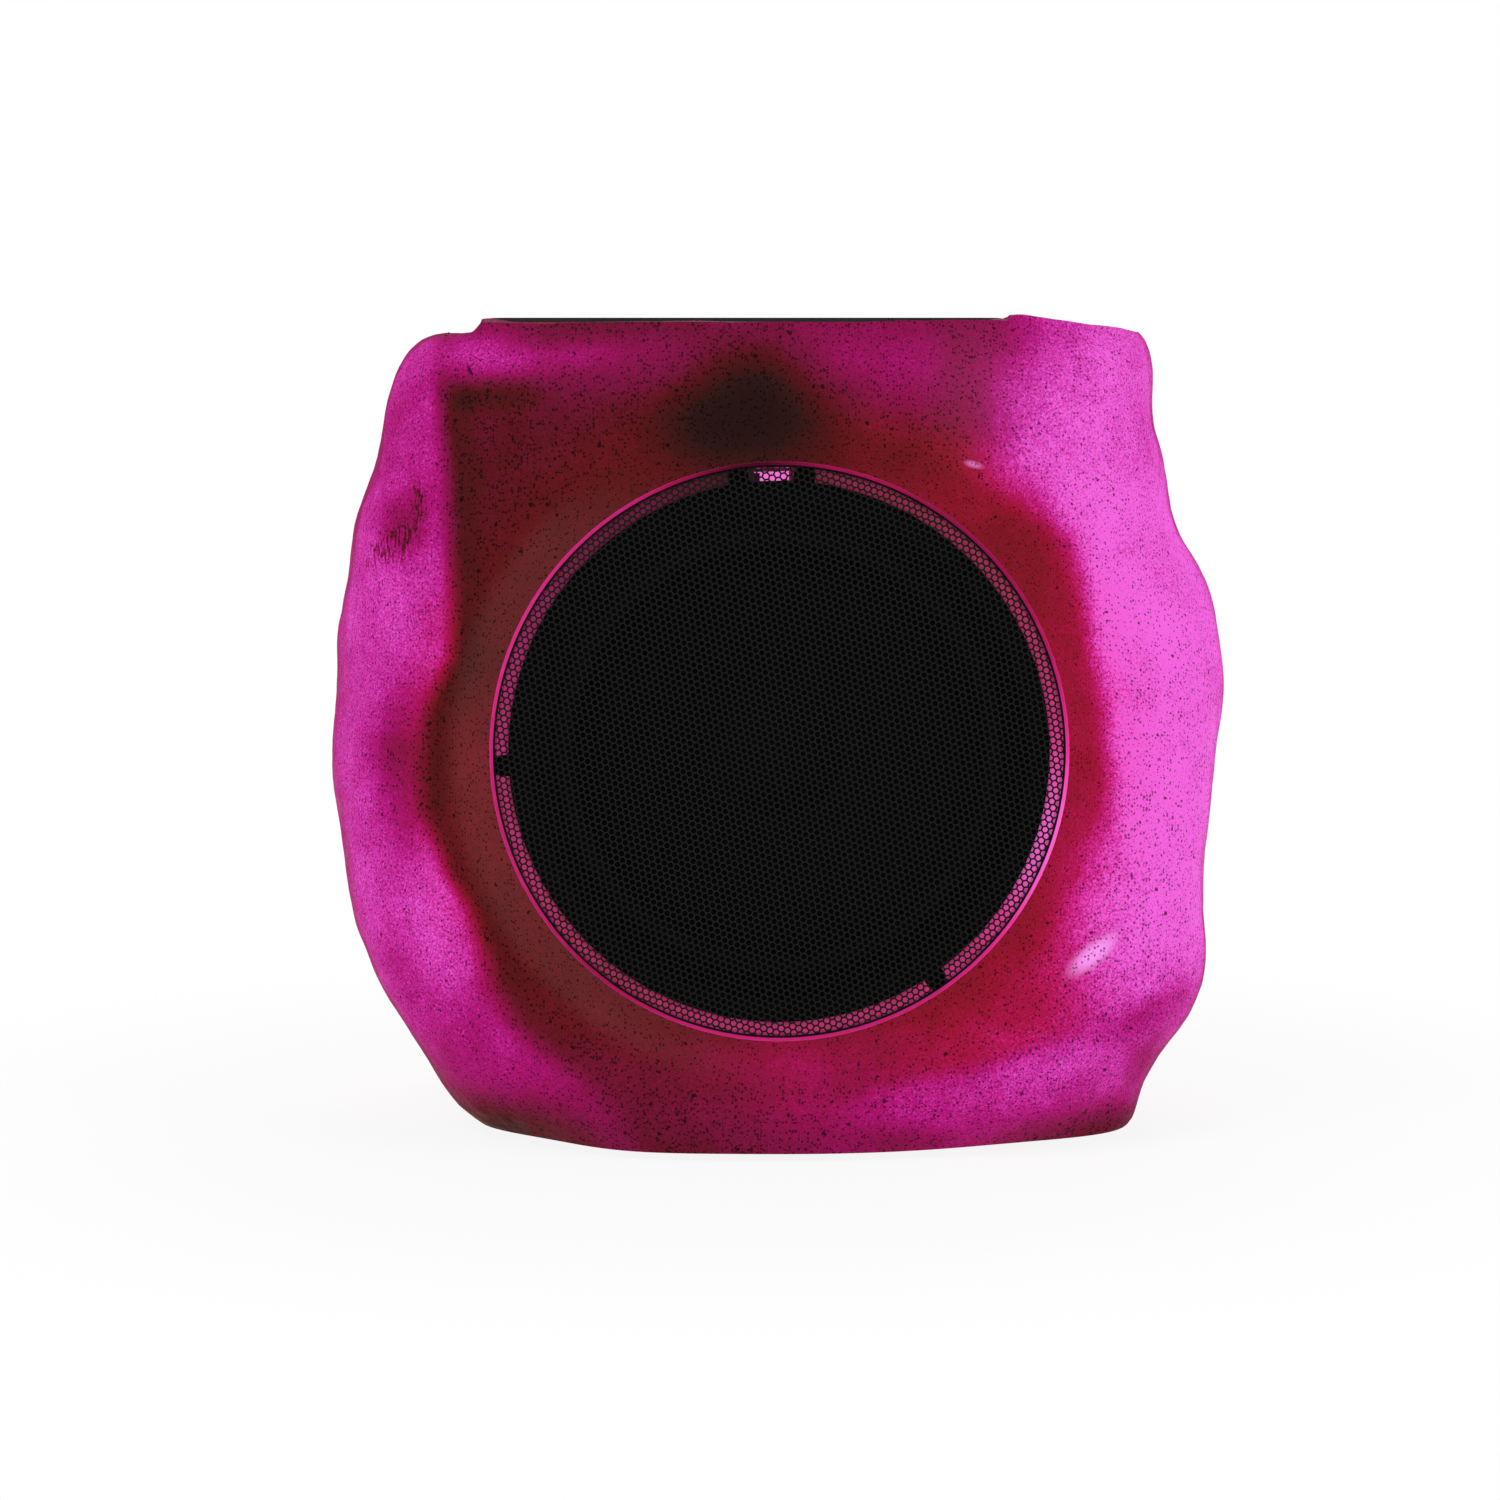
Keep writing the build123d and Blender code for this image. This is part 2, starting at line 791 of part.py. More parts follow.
def pole_plate():
    """Back plate and pole in one turned piece, vented through the middle."""
    return front * turned(
        (pole_vent, frame_floor),
        (pole_radius, frame_floor),
        (pole_radius, magnet_under),
        (plate_radius, magnet_under),
        (plate_radius, motor_back),
        (pole_vent, motor_back),
    )


def driver_terminal():
    """Terminal strip that hugs the motor cup at its lowest point."""
    middle = (shelf_under + frame_floor) / 2
    strip = block(
        (-terminal_width / 2, terminal_width / 2),
        (-motor_cup_radius - terminal_stand, -motor_cup_radius + terminal_stand),
        (middle - terminal_height / 2, middle + terminal_height / 2),
    )
    return front * (strip - rod(0, 0, frame_floor, shelf_under, motor_cup_radius + glue_gap))


# Solar tray and battery


def solar_tray():
    """Black moulded tray: flange, dish for the panel, and an open battery box below."""
    tray = plate(tray_width, tray_depth, tray_corner, solar_gasket_thickness, flange_face)
    tray += plate(tray_body_width, tray_body_depth, tray_corner, tray_under, solar_gasket_thickness)
    tray -= plate(
        tray_body_width - 2 * tray_wall,
        tray_body_depth - 2 * tray_wall,
        tray_corner - tray_wall,
        tray_floor_top,
        flange_face,
    )
    box = plate(battery_box_width, battery_box_length, 2 * battery_wall, battery_box_under, tray_under)
    for ear_y in (-lid_screw_y, lid_screw_y):
        box += rod(0, ear_y, battery_box_under, tray_under, battery_ear)
    box -= plate(
        battery_box_width - 2 * battery_wall,
        battery_box_length - 2 * battery_wall,
        battery_wall,
        battery_box_under,
        tray_under,
    )
    tray += Pos(battery_x, battery_y, 0) * box
    tray += block(
        (antenna_tab_x - antenna_tab_width / 2, antenna_tab_x + antenna_tab_width / 2),
        (antenna_y, antenna_y + 2 * bracket_sheet),
        (tray_under - antenna_tab_drop, tray_under),
    )
    for x, y in lid_screw_places:
        tray -= thread_hole(x, y, battery_box_under, battery_box_under + lid_hole_depth)
    for x, y in solar_screw_places:
        tray -= pass_hole(x, y, solar_gasket_thickness, flange_face)
        tray -= rod(x, y, tray_screw_seat, flange_face, screw_head + screw_clearance)
    return top * tray


def solar_panel():
    inset = tray_wall + fit_gap
    return top * plate(
        tray_body_width - 2 * inset,
        tray_body_depth - 2 * inset,
        tray_corner - inset,
        tray_floor_top,
        laminate_top,
    )


def solar_gasket():
    seal = plate(tray_width, tray_depth, tray_corner, 0, solar_gasket_thickness)
    seal -= plate(
        tray_body_width + 2 * tray_gap,
        tray_body_depth + 2 * tray_gap,
        tray_corner,
        0,
        solar_gasket_thickness,
    )
    for x, y in solar_screw_places:
        seal -= pass_hole(x, y, 0, solar_gasket_thickness)
    return top * seal


def solar_screws():
    length = tray_screw_seat + 2 * wall
    return [top * screw(x, y, tray_screw_seat, length) for x, y in solar_screw_places]


def battery_pack():
    """Shrink-wrapped pack of four cells, two rows high, resting on the box's lid."""
    outline = RectangleRounded(battery_width, battery_height, battery_corner)
    pack = Rot(X=90) * extrude(outline, battery_length / 2, both=True)
    middle = battery_box_under + battery_height / 2
    return top * Pos(battery_x, battery_y, middle) * pack


def battery_lid():
    low = battery_box_under - battery_lid_thickness
    lid = plate(battery_box_width, battery_box_length, 2 * battery_wall, low, battery_box_under)
    for ear_y in (-lid_screw_y, lid_screw_y):
        lid += rod(0, ear_y, low, battery_box_under, battery_ear)
    lid = Pos(battery_x, battery_y, 0) * lid
    for x, y in lid_screw_places:
        lid -= pass_hole(x, y, low, battery_box_under)
    return top * lid


def battery_lid_screws():
    low = battery_box_under - battery_lid_thickness
    upward = Rot(X=180) * screw(0, 0, 0, battery_lid_thickness + lid_screw_bite)
    return [top * Pos(x, y, low) * upward for x, y in lid_screw_places]


def antenna_board():
    """Small aerial board on the tab that hangs from the tray."""
    low = tray_under - antenna_tab_drop
    return top * block(
        (antenna_tab_x - antenna_width / 2, antenna_tab_x + antenna_width / 2),
        (antenna_y - board_thickness, antenna_y),
        (low, low + antenna_height),
    )


# Base


def base_plate():
    section = rock_section(rim_lift, wall + base_gap, rim_lift)
    base = extrude(section, base_thickness, dir=(0, 0, 1))
    for azimuth in boss_azimuths:
        x, y = boss_place(azimuth)
        base -= pass_hole(x, y, rim_lift, base_top)
    for azimuth in foot_azimuths:
        x, y = foot_place(azimuth)
        base -= rod(x, y, rim_lift, base_top, foot_stem + slide_gap)
    for x, y in bracket_screw_places:
        base -= thread_hole(x, y, rim_lift, base_top)
    return base


def base_screws():
    screws = []
    for azimuth in boss_azimuths:
        x, y = boss_place(azimuth)
        upward = Rot(X=180) * screw(0, 0, 0, base_thickness + base_screw_bite)
        screws.append(Pos(x, y, rim_lift) * upward)
    return screws


def foot(azimuth):
    """Rubber foot pushed into the base plate, with a barbed stem."""
    x, y = foot_place(azimuth)
    bumper = turned(
        (0, 0),
        (foot_sole, 0),
        (foot_radius, rim_lift),
        (foot_stem, rim_lift),
        (foot_stem, base_top),
        (foot_stem + foot_barb, base_top),
        (foot_tip, base_top + foot_stem),
        (0, base_top + foot_stem),
    )
    return Pos(x, y, 0) * bumper


# Rear panel and its pieces


def control_panel():
    panel = plate(rear_panel_width, rear_panel_tall, rear_panel_corner, panel_inside, panel_face)
    for x, y in board_screw_places:
        panel += rod(x, y, board_face, panel_inside, board_post_radius)
        panel -= thread_hole(x, y, board_face, panel_inside)
    for x, y in button_places:
        panel -= rod(x, y, panel_inside, panel_face, button_radius + slide_gap)
    for x, y in panel_screw_places:
        panel -= pass_hole(x, y, panel_inside, panel_face)
    panel -= rod(0, 0, panel_inside, panel_face, lens_radius + lens_gap)
    panel -= rod(aux_offset, port_row, panel_inside, panel_face, aux_barrel + slide_gap)
    panel -= Pos(-aux_offset, port_row, 0) * plate(
        charge_mouth_width + 2 * charge_margin,
        charge_mouth_tall + 2 * charge_margin,
        charge_mouth_tall / 2,
        panel_inside,
        panel_face,
    )
    for side in (-1, 1):
        middle = side * (port_width / 2 + slide_gap + hinge_ear / 2)
        ear = block(
            (middle - hinge_ear / 2, middle + hinge_ear / 2),
            (hinge_y - hinge_knuckle, hinge_y + hinge_knuckle),
            (panel_face, hinge_z),
        )
        ear += Pos(middle, hinge_y, hinge_z) * Rot(Y=90) * Cylinder(hinge_knuckle, hinge_ear)
        ear -= Pos(middle, hinge_y, hinge_z) * Rot(Y=90) * Cylinder(hinge_pin + thread_gap, hinge_ear)
        panel += ear
    return rear * panel


def panel_gasket():
    seal = plate(rear_panel_width, rear_panel_tall, rear_panel_corner, 0, rear_gasket_thickness)
    seal -= plate(opening_width, opening_tall, rear_panel_corner / 2, 0, rear_gasket_thickness)
    for x, y in panel_screw_places:
        seal -= pass_hole(x, y, 0, rear_gasket_thickness)
    return rear * seal


def panel_screws():
    return [rear * screw(x, y, panel_face, panel_face + wall) for x, y in panel_screw_places]


def button(x, y):
    """Push button: domed cap, retaining flange behind the panel, and a stem to its switch."""
    flange_z = panel_inside - slide_gap / 2
    cap = rod(x, y, flange_z - button_flange, panel_face + button_proud, button_radius)
    crown = cap.edges().group_by(Axis.Z)[-1]
    cap = fillet(crown, button_proud / 2)
    cap += rod(x, y, flange_z - button_flange, flange_z, button_radius + button_flange)
    stem_end = switch_top - slide_gap
    cap += rod(x, y, stem_end, flange_z, stem_radius)
    return rear * cap


def status_lens():
    lens = rod(0, 0, panel_inside, panel_face + lens_proud, lens_radius)
    lens += rod(0, 0, panel_inside - lens_flange, panel_inside, lens_radius + lens_flange)
    return rear * lens


def port_cover():
    """Rubber flap over the sockets, hung on a pin along its lower edge."""
    low = panel_face + slide_gap
    high = low + port_cover_thickness
    far = hinge_y + port_tall
    flap = block((-port_width / 2, port_width / 2), (hinge_y, far), (low, high))
    corner_edges = flap.edges().filter_by(Axis.Z).group_by(Axis.Y)[-1]
    flap = fillet(corner_edges, port_tall / 4)
    flap += block((-grip_width / 2, grip_width / 2), (far - grip_depth, far), (low, high + grip_proud))
    axis = Pos(0, hinge_y, hinge_z) * Rot(Y=90)
    flap += axis * Cylinder(hinge_knuckle, port_width)
    flap -= axis * Cylinder(hinge_pin + 2 * thread_gap, port_width)
    return rear * flap


def port_pin():
    length = port_width + 2 * (slide_gap + hinge_ear)
    return rear * Pos(0, hinge_y, hinge_z) * Rot(Y=90) * Cylinder(hinge_pin, length)


def aux_socket():
    """Round plug socket that stands on the board, with a barrel through the panel."""
    half = socket_body / 2
    socket = block(
        (aux_offset - half, aux_offset + half),
        (port_row - half, port_row + half),
        (board_face, socket_front),
    )
    socket += rod(aux_offset, port_row, board_face, aux_mouth, aux_barrel)
    return rear * (socket - rod(aux_offset, port_row, aux_mouth - aux_depth, aux_mouth, aux_bore))


def charge_socket():
    """Flat oval metal socket with a tongue, standing on the board."""
    floor = socket_front - charge_depth
    can = plate(
        charge_mouth_width + 2 * charge_wall,
        charge_mouth_tall + 2 * charge_wall,
        charge_mouth_tall / 2 + charge_wall / 2,
        board_face,
        socket_front,
    )
    mouth_corner = charge_mouth_tall / 2 - charge_wall / 2
    can -= plate(charge_mouth_width, charge_mouth_tall, mouth_corner, floor, socket_front)
    tongue = block(
        (-charge_tongue_width / 2, charge_tongue_width / 2),
        (-charge_tongue / 2, charge_tongue / 2),
        (floor, socket_front - charge_tongue_sunk),
    )
    return rear * Pos(-aux_offset, port_row, 0) * (can + tongue)


def main_board():
    board = block(
        (-board_width / 2, board_width / 2),
        (-board_tall / 2, board_tall / 2),
        (board_back, board_face),
    )
    for x, y in board_screw_places:
        board -= pass_hole(x, y, board_back, board_face)
    return rear * board


def board_screws():
    forward = Rot(X=180) * screw(0, 0, 0, board_thickness + board_screw_bite)
    return [rear * Pos(x, y, board_back) * forward for x, y in board_screw_places]


def tact_switches():
    """Switch cases on the board, each with a well that a button's stem presses into."""
    switches = []
    half = switch_side / 2
    for x, y in button_places:
        case = block((x - half, x + half), (y - half, y + half), (board_face, switch_top))
        case -= rod(x, y, switch_well, switch_top, stem_radius + slide_gap)
        switches.append(rear * case)
    return switches


def lead_sockets():
    across = lead_socket_width / 2
    along = lead_socket_tall / 2
    socket = block((-across, across), (-along, along), (lead_face, board_back))
    return [rear * Pos(x, y, 0) * socket for x, y in lead_socket_places]


def module_shield():
    low = board_back - shield_height
    return rear * Pos(*shield_place, 0) * plate(shield_width, shield_tall, shield_corner, low, board_back)


def heat_sink():
    """Finned block on the amplifier chip."""
    across = sink_width / 2
    along = (-sink_tall / 2, sink_tall / 2)
    sink = block((-across, across), along, (board_back - sink_base, board_back))
    step = (sink_width - sink_fin) / (sink_fins - 1)
    for index in range(sink_fins):
        x = index * step - across
        sink += block((x, x + sink_fin), along, (board_back - sink_height, board_back - sink_base))
    return rear * Pos(*sink_place, 0) * sink


def capacitors():
    low = board_back - capacitor_height
    return [rear * rod(x, y, low, board_back, capacitor_radius) for x, y in capacitor_places]


# Light board and its bracket


def light_bracket():
    """Folded sheet that stands on the base and carries the light board."""
    foot_high = base_top + bracket_sheet
    half = bracket_width / 2
    sides = (grille_x - half, grille_x + half)
    upright = block(sides, (light_y, light_y + bracket_sheet), (base_top, light_height + light_side / 2))
    sheet = upright + block(sides, (light_y, light_y + bracket_sheet + bracket_foot), (base_top, foot_high))
    for x, y in bracket_screw_places:
        sheet -= pass_hole(x, y, base_top, foot_high)
    sheet -= light * rod(0, 0, -bracket_sheet, 0, bracket_slot)
    for x, y in light_screw_places:
        sheet -= light * thread_hole(x, y, -bracket_sheet, 0)
    return sheet


def light_bracket_screws():
    face = base_top + bracket_sheet
    return [screw(x, y, face, bracket_sheet + base_thickness) for x, y in bracket_screw_places]


def light_board():
    board = plate(light_side, light_side, light_corner, 0, board_thickness)
    for x, y in light_screw_places:
        board -= pass_hole(x, y, 0, board_thickness)
    return light * board


def light_board_screws():
    length = board_thickness + bracket_sheet
    return [light * screw(x, y, board_thickness, length) for x, y in light_screw_places]


def light_chips():
    """Square light chips in rows on the board."""
    chips = []
    half = light_chip / 2
    high = board_thickness + light_chip_height
    chip = block((-half, half), (-half, half), (board_thickness, high))
    start = -light_pitch * (light_rows - 1) / 2
    for row in range(light_rows):
        for column in range(light_rows):
            chips.append(light * Pos(start + column * light_pitch, start + row * light_pitch, 0) * chip)
    return chips


# Leads, each a flat strip that is held at both ends


def lead(points):
    route = FilletPolyline(*points, radius=lead_bend)
    section = Plane(origin=route @ 0, z_dir=route % 0) * Rectangle(lead_thickness, lead_width)
    return sweep(section, path=route)


def socket_end(index):
    """Face of one lead socket on the board, and a point straight out of it."""
    x, y = lead_socket_places[index]
    return rear.from_local_coords((x, y, lead_face - socket_run)), rear.from_local_coords((x, y, lead_face))


def speaker_lead():
    middle = (shelf_under + frame_floor) / 2
    foot = -motor_cup_radius - terminal_stand
    start = front.from_local_coords((0, foot, middle))
    drop = front.from_local_coords((0, foot - terminal_drop, middle))
    side = grille_x + bracket_width / 2 + bracket_clear
    near, end = socket_end(0)
    low = (side, light_y - speaker_lead_front, speaker_lead_low)
    high = (side, light_y + speaker_lead_back, speaker_lead_high)
    return lead([start, drop, low, high, near, end])


def light_lead():
    near, end = socket_end(1)
    start = (grille_x, light_y, light_height)
    return lead([start, (grille_x, light_y + light_lead_run, light_height), near, end])


def battery_lead():
    near, end = socket_end(2)
    x = tray_x + battery_x
    y = tray_y + battery_y + battery_length / 3
    start = tray_seat + battery_box_under - battery_lid_thickness
    drop = start - battery_lead_drop
    turn = (x - battery_lead_side, light_y + light_lead_run, light_height + battery_lead_rise)
    return lead([(x, y, start), (x, y, drop), turn, near, end])


def solar_lead():
    near, end = socket_end(3)
    x = tray_x - tray_body_width / 4
    y = tray_y + tray_body_depth / 2 - solar_lead_inset
    start = tray_seat + tray_under
    across, along = solar_lead_step
    turn = (x + across, y + along, light_height + solar_lead_rise)
    return lead([(x, y, start), (x, y, start - solar_lead_drop), turn, near, end])


# Write one file for each piece

pieces = {
    "rock_shell": rock_shell(),
    "grille": grille(),
    "driver_gasket": driver_gasket(),
    "driver_frame": driver_frame(),
    "driver_screws": driver_screws(),
    "surround": surround(),
    "cone": cone(),
    "dust_cap": dust_cap(),
    "voice_coil": voice_coil(),
    "spider": spider(),
    "top_plate": top_plate(),
    "magnet": magnet(),
    "pole_plate": pole_plate(),
    "driver_terminal": driver_terminal(),
    "solar_tray": solar_tray(),
    "solar_panel": solar_panel(),
    "solar_gasket": solar_gasket(),
    "solar_screws": solar_screws(),
    "battery_pack": battery_pack(),
    "battery_lid": battery_lid(),
    "battery_lid_screws": battery_lid_screws(),
    "antenna_board": antenna_board(),
    "base_plate": base_plate(),
    "base_screws": base_screws(),
    "control_panel": control_panel(),
    "panel_gasket": panel_gasket(),
    "panel_screws": panel_screws(),
    "status_lens": status_lens(),
    "port_cover": port_cover(),
    "port_pin": port_pin(),
    "aux_socket": aux_socket(),
    "charge_socket": charge_socket(),
    "main_board": main_board(),
    "board_screws": board_screws(),
    "tact_switches": tact_switches(),
    "lead_sockets": lead_sockets(),
    "module_shield": module_shield(),
    "heat_sink": heat_sink(),
    "capacitors": capacitors(),
    "light_bracket": light_bracket(),
    "light_bracket_screws": light_bracket_screws(),
    "light_board": light_board(),
    "light_board_screws": light_board_screws(),
    "light_chips": light_chips(),
    "speaker_lead": speaker_lead(),
    "light_lead": light_lead(),
    "battery_lead": battery_lead(),
    "solar_lead": solar_lead(),
}
for name, azimuth in zip(foot_names, foot_azimuths):
    pieces[name] = foot(azimuth)
for name, (x, y) in zip(button_names, button_places):
    pieces[name] = button(x, y)

os.makedirs("parts", exist_ok=True)
for name, piece in pieces.items():
    if isinstance(piece, list):
        piece = Compound(children=piece)
    export_step(piece, f"parts/{name}.step")
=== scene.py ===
import json
import math

import bmesh
import bpy
import numpy as np
from mathutils import Matrix, Vector, noise
from mathutils.bvhtree import BVHTree


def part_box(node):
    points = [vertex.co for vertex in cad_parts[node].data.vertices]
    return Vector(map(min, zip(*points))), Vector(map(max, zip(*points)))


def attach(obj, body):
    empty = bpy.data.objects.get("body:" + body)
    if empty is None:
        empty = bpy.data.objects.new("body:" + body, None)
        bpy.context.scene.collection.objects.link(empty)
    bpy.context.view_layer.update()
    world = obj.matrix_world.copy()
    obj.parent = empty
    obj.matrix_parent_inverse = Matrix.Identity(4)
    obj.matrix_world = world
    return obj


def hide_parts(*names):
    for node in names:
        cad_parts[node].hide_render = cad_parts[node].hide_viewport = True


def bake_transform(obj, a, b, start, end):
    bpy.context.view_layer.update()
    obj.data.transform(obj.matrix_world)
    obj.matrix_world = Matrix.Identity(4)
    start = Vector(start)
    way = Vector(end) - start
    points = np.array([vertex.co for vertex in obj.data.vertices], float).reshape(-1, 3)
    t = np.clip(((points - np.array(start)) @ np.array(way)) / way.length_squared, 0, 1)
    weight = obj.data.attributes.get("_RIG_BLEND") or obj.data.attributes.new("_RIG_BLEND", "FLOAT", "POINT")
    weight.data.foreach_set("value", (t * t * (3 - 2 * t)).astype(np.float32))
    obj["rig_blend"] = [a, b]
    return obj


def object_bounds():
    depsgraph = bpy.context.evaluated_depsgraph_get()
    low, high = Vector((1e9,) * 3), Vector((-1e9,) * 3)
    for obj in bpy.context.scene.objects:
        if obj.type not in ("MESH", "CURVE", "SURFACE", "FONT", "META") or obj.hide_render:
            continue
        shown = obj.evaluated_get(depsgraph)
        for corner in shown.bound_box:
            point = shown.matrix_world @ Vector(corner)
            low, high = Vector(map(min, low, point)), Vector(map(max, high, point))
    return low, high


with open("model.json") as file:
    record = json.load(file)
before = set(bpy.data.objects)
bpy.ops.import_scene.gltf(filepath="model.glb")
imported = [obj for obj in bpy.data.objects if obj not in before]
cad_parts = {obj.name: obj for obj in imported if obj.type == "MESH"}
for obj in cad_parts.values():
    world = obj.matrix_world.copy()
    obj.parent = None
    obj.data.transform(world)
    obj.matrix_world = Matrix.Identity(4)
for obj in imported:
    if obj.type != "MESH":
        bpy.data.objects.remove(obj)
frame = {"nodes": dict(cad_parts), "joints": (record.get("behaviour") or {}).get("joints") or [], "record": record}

# Rock shaped garden speaker, lit from inside. Lengths are in metres, and mm turns millimetres into metres.
mm = 0.001
cad_low, cad_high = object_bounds()
nodes = frame["nodes"]
node_slot = {part["node"]: part["material_slot"] for part in frame["record"]["subparts"]}
joints = {joint["name"]: joint for joint in frame["joints"]}

# Front frame: right, up and out of the grille's face, with its origin in the middle of that face
grille_out = Vector(joints["cone_stroke"]["axis"]).normalized()
grille_right = Vector((1, 0, 0))
grille_up = grille_out.cross(grille_right)
front_turn = Matrix((grille_right, grille_up, grille_out)).transposed()
grille_points = np.array([v.co for v in nodes["grille"].data.vertices]) @ np.array(front_turn)
face_low, face_high = grille_points.min(0), grille_points.max(0)
grille_radius = (face_high[0] - face_low[0]) / 2
grille_depth = face_high[2] - face_low[2]
face_middle = Vector(((face_low[0] + face_high[0]) / 2, (face_low[1] + face_high[1]) / 2, face_high[2]))
front = Matrix.Translation(front_turn @ face_middle) @ front_turn.to_4x4()

# Grille sheet and its rolled rim
hole_pitch = 2.0 * mm
hole_width = 1.5 * mm
sheet_thickness = 0.8 * mm
sheet_turn = math.radians(40)
rim_width = 0.35 * mm
rim_round = 0.3 * mm
rim_proud = 0.05 * mm
rim_steps = 160
rim_sharp = math.radians(40)
skirt_thickness = 0.35 * mm

# Lugs of the driver's frame, which stand before the lit floor of the recess and cast painted shade on it, in
# millimetres
lug_angles = (84.7, 98.5, 183.0, 304.6)
lug_reach = 84.2
lug_half = (4.6, 4.0)

# Rock skin
skin_edge = 3.4 * mm
skin_sharp = math.radians(35)
bezel_reach = 105 * mm
recess_reach = grille_radius + 1.1 * mm
lump_size = 60 * mm
lump_height = 1.5 * mm
knob_size = 21 * mm
knob_height = 0.6 * mm
pit_size = 6.5 * mm
pit_height = 0.16 * mm

# Sweeps by which the rock rises to the tray's ends
shoulder_edge = 1.3 * mm
shoulder_run = 5.5 * mm
shoulder_reach = 9.5 * mm
shoulder_foot = 248 * mm
shoulder_low = shoulder_foot - 6 * mm
crest_drop = 0.25 * mm
crest_band = 2.2 * mm

# Marks on the rock, with painted highlights and painted light among them, in millimetres of the front frame:
# middle, half sizes and turn in degrees
scuff_below = ((-117.5, 63), (18, 9), 30)
scuff_beside = ((-109.5, 75), (4, 13), 8)
dull_patch = ((-113.5, 69.5), (13, 15), -30)
# A patch of painted greyish light
painted_grey_light_patch = ((60, 107), (26, 36), 0)
# The next two are painted highlights
painted_highlight_streak = ((94.6, -61.4), (17, 6.2), 38)
painted_highlight_spot = ((58.5, 86.3), (4.4, 1.6), -14)
crack_mark = ((-93.8, 115.6), (3.4, 0.8), -62)

# Borders of the light in the front frame, in millimetres: height and side, then side and height
left_border = (
    (-130, -38), (-122, -41), (-109, -49), (-99, -58), (-91, -69), (-82, -80), (-71, -86),
    (-61, -89), (-48, -93), (-36, -101), (-18, -108), (-5, -108), (10, -107), (19, -104),
    (28, -99), (40, -98), (58, -99), (83, -100), (112, -104), (130, -105),
)
right_border = (
    (-130, 110), (-95, 104), (-79, 90), (-64, 86), (-52, 91), (-39, 95), (-24, 98), (-3, 100), (16, 97),
    (31, 95), (46, 93), (63, 89), (73, 79), (84, 70), (95, 69), (107, 70), (130, 78),
)
bottom_border = (
    (10, -112), (24, -103), (40, -99), (57, -95.5), (78, -89), (96, -84), (107, -80), (120, -76),
)

# Camera: square to the grille, with the axis a little to the left of its middle
camera_reach = 1.2
camera_shift = (-8.8 * mm, 0.4 * mm)
frame_width = 0.45
sensor = 36.0


# Node helpers


def tree_of(*values):
    """Node tree of the first socket among some values."""
    return next(value.id_data for value in values if isinstance(value, bpy.types.NodeSocket))


def add_node(kind, settings=None, tree=None, **inputs):
    """New node in the tree of what it is linked to, with its settings and its inputs by name."""
    tree = tree or tree_of(*inputs.values())
    made = tree.nodes.new(kind if kind.startswith("Geometry") else "ShaderNode" + kind)
    for name, value in (settings or {}).items():
        setattr(made, name, value)
    for name, value in inputs.items():
        plug(made, name.replace("_", " "), value)
    return made


def first(kind, settings=None, tree=None, **inputs):
    """First output of a new node."""
    return add_node(kind, settings, tree, **inputs).outputs[0]


def plug(made, name, value):
    """Links an output, or sets a plain value, on the input of that name or place."""
    socket = made.inputs[name]
    if isinstance(value, bpy.types.NodeSocket):
        made.id_data.links.new(value, socket)
    else:
        socket.default_value = value


def plug_all(made, *values):
    """Links or sets a node's inputs in their order."""
    for place, value in enumerate(values):
        plug(made, place, value)
    return made


def calc(operation, *values):
    made = add_node("Math", {"operation": operation}, tree_of(*values))
    return plug_all(made, *values).outputs[0]


def product(*values):
    """Values multiplied one by one."""
    made = values[0]
    for value in values[1:]:
        made = calc("MULTIPLY", made, value)
    return made


def ramp(value, low, high, out_low=0.0, out_high=1.0):
    """Smooth change from one output to the other as the value goes from low to high."""
    made = add_node("MapRange", {"interpolation_type": "SMOOTHSTEP"}, tree_of(value))
    return plug_all(made, value, low, high, out_low, out_high).outputs["Result"]


def mix(share, start, end, blend="MIX"):
    made = add_node("Mix", {"data_type": "RGBA", "blend_type": blend}, tree_of(share, start, end))
    plug(made, "Factor", share)
    for place, value in ((6, start), (7, end)):
        plug(made, place, value if isinstance(value, bpy.types.NodeSocket) else (*value, 1))
    return made.outputs[2]


def colour_ramp(value, *stops):
    made = add_node("ValToRGB", Fac=value)
    elements = made.color_ramp.elements
    while len(elements) < len(stops):
        elements.new(1.0)
    for element, (place, colour) in zip(elements, stops):
        element.position = place
        element.color = (*colour, 1)
    return made.outputs["Color"]


def cloud(place, size, detail=3.0, roughness=0.5):
    """Noise with features of about one size."""
    made = add_node("TexNoise", Vector=place, Scale=1 / size, Detail=detail, Roughness=roughness)
    return made.outputs["Fac"]


def bump(height, depth, normal=None):
    made = add_node("Bump", Height=height, Distance=depth, Strength=1.0)
    if normal is not None:
        plug(made, "Normal", normal)
    return made.outputs["Normal"]


def vector_length(vector):
    return add_node("VectorMath", {"operation": "LENGTH"}, Vector=vector).outputs["Value"]


def vertex_value(place, name):
    """Value that the piece's mesh carries at its vertices."""
    return add_node("Attribute", {"attribute_name": name}, tree_of(place)).outputs["Fac"]


def dress(material, **values):
    """Sets or links sockets of the material's shader by name."""
    shader = material.node_tree.nodes["Principled BSDF"]
    for name, value in values.items():
        plug(shader, name.replace("_", " "), value)
    return material


def new_finish(name, roughness, metallic=0.0, specular=0.5):
    """Empty material, and the own coordinates of the piece that wears it."""
    material = bpy.data.materials.new(name)
    material.use_nodes = True
    dress(material, Roughness=roughness, Metallic=metallic, Specular_IOR_Level=specular)
    return material, add_node("TexCoord", tree=material.node_tree).outputs["Object"]


# Finishes


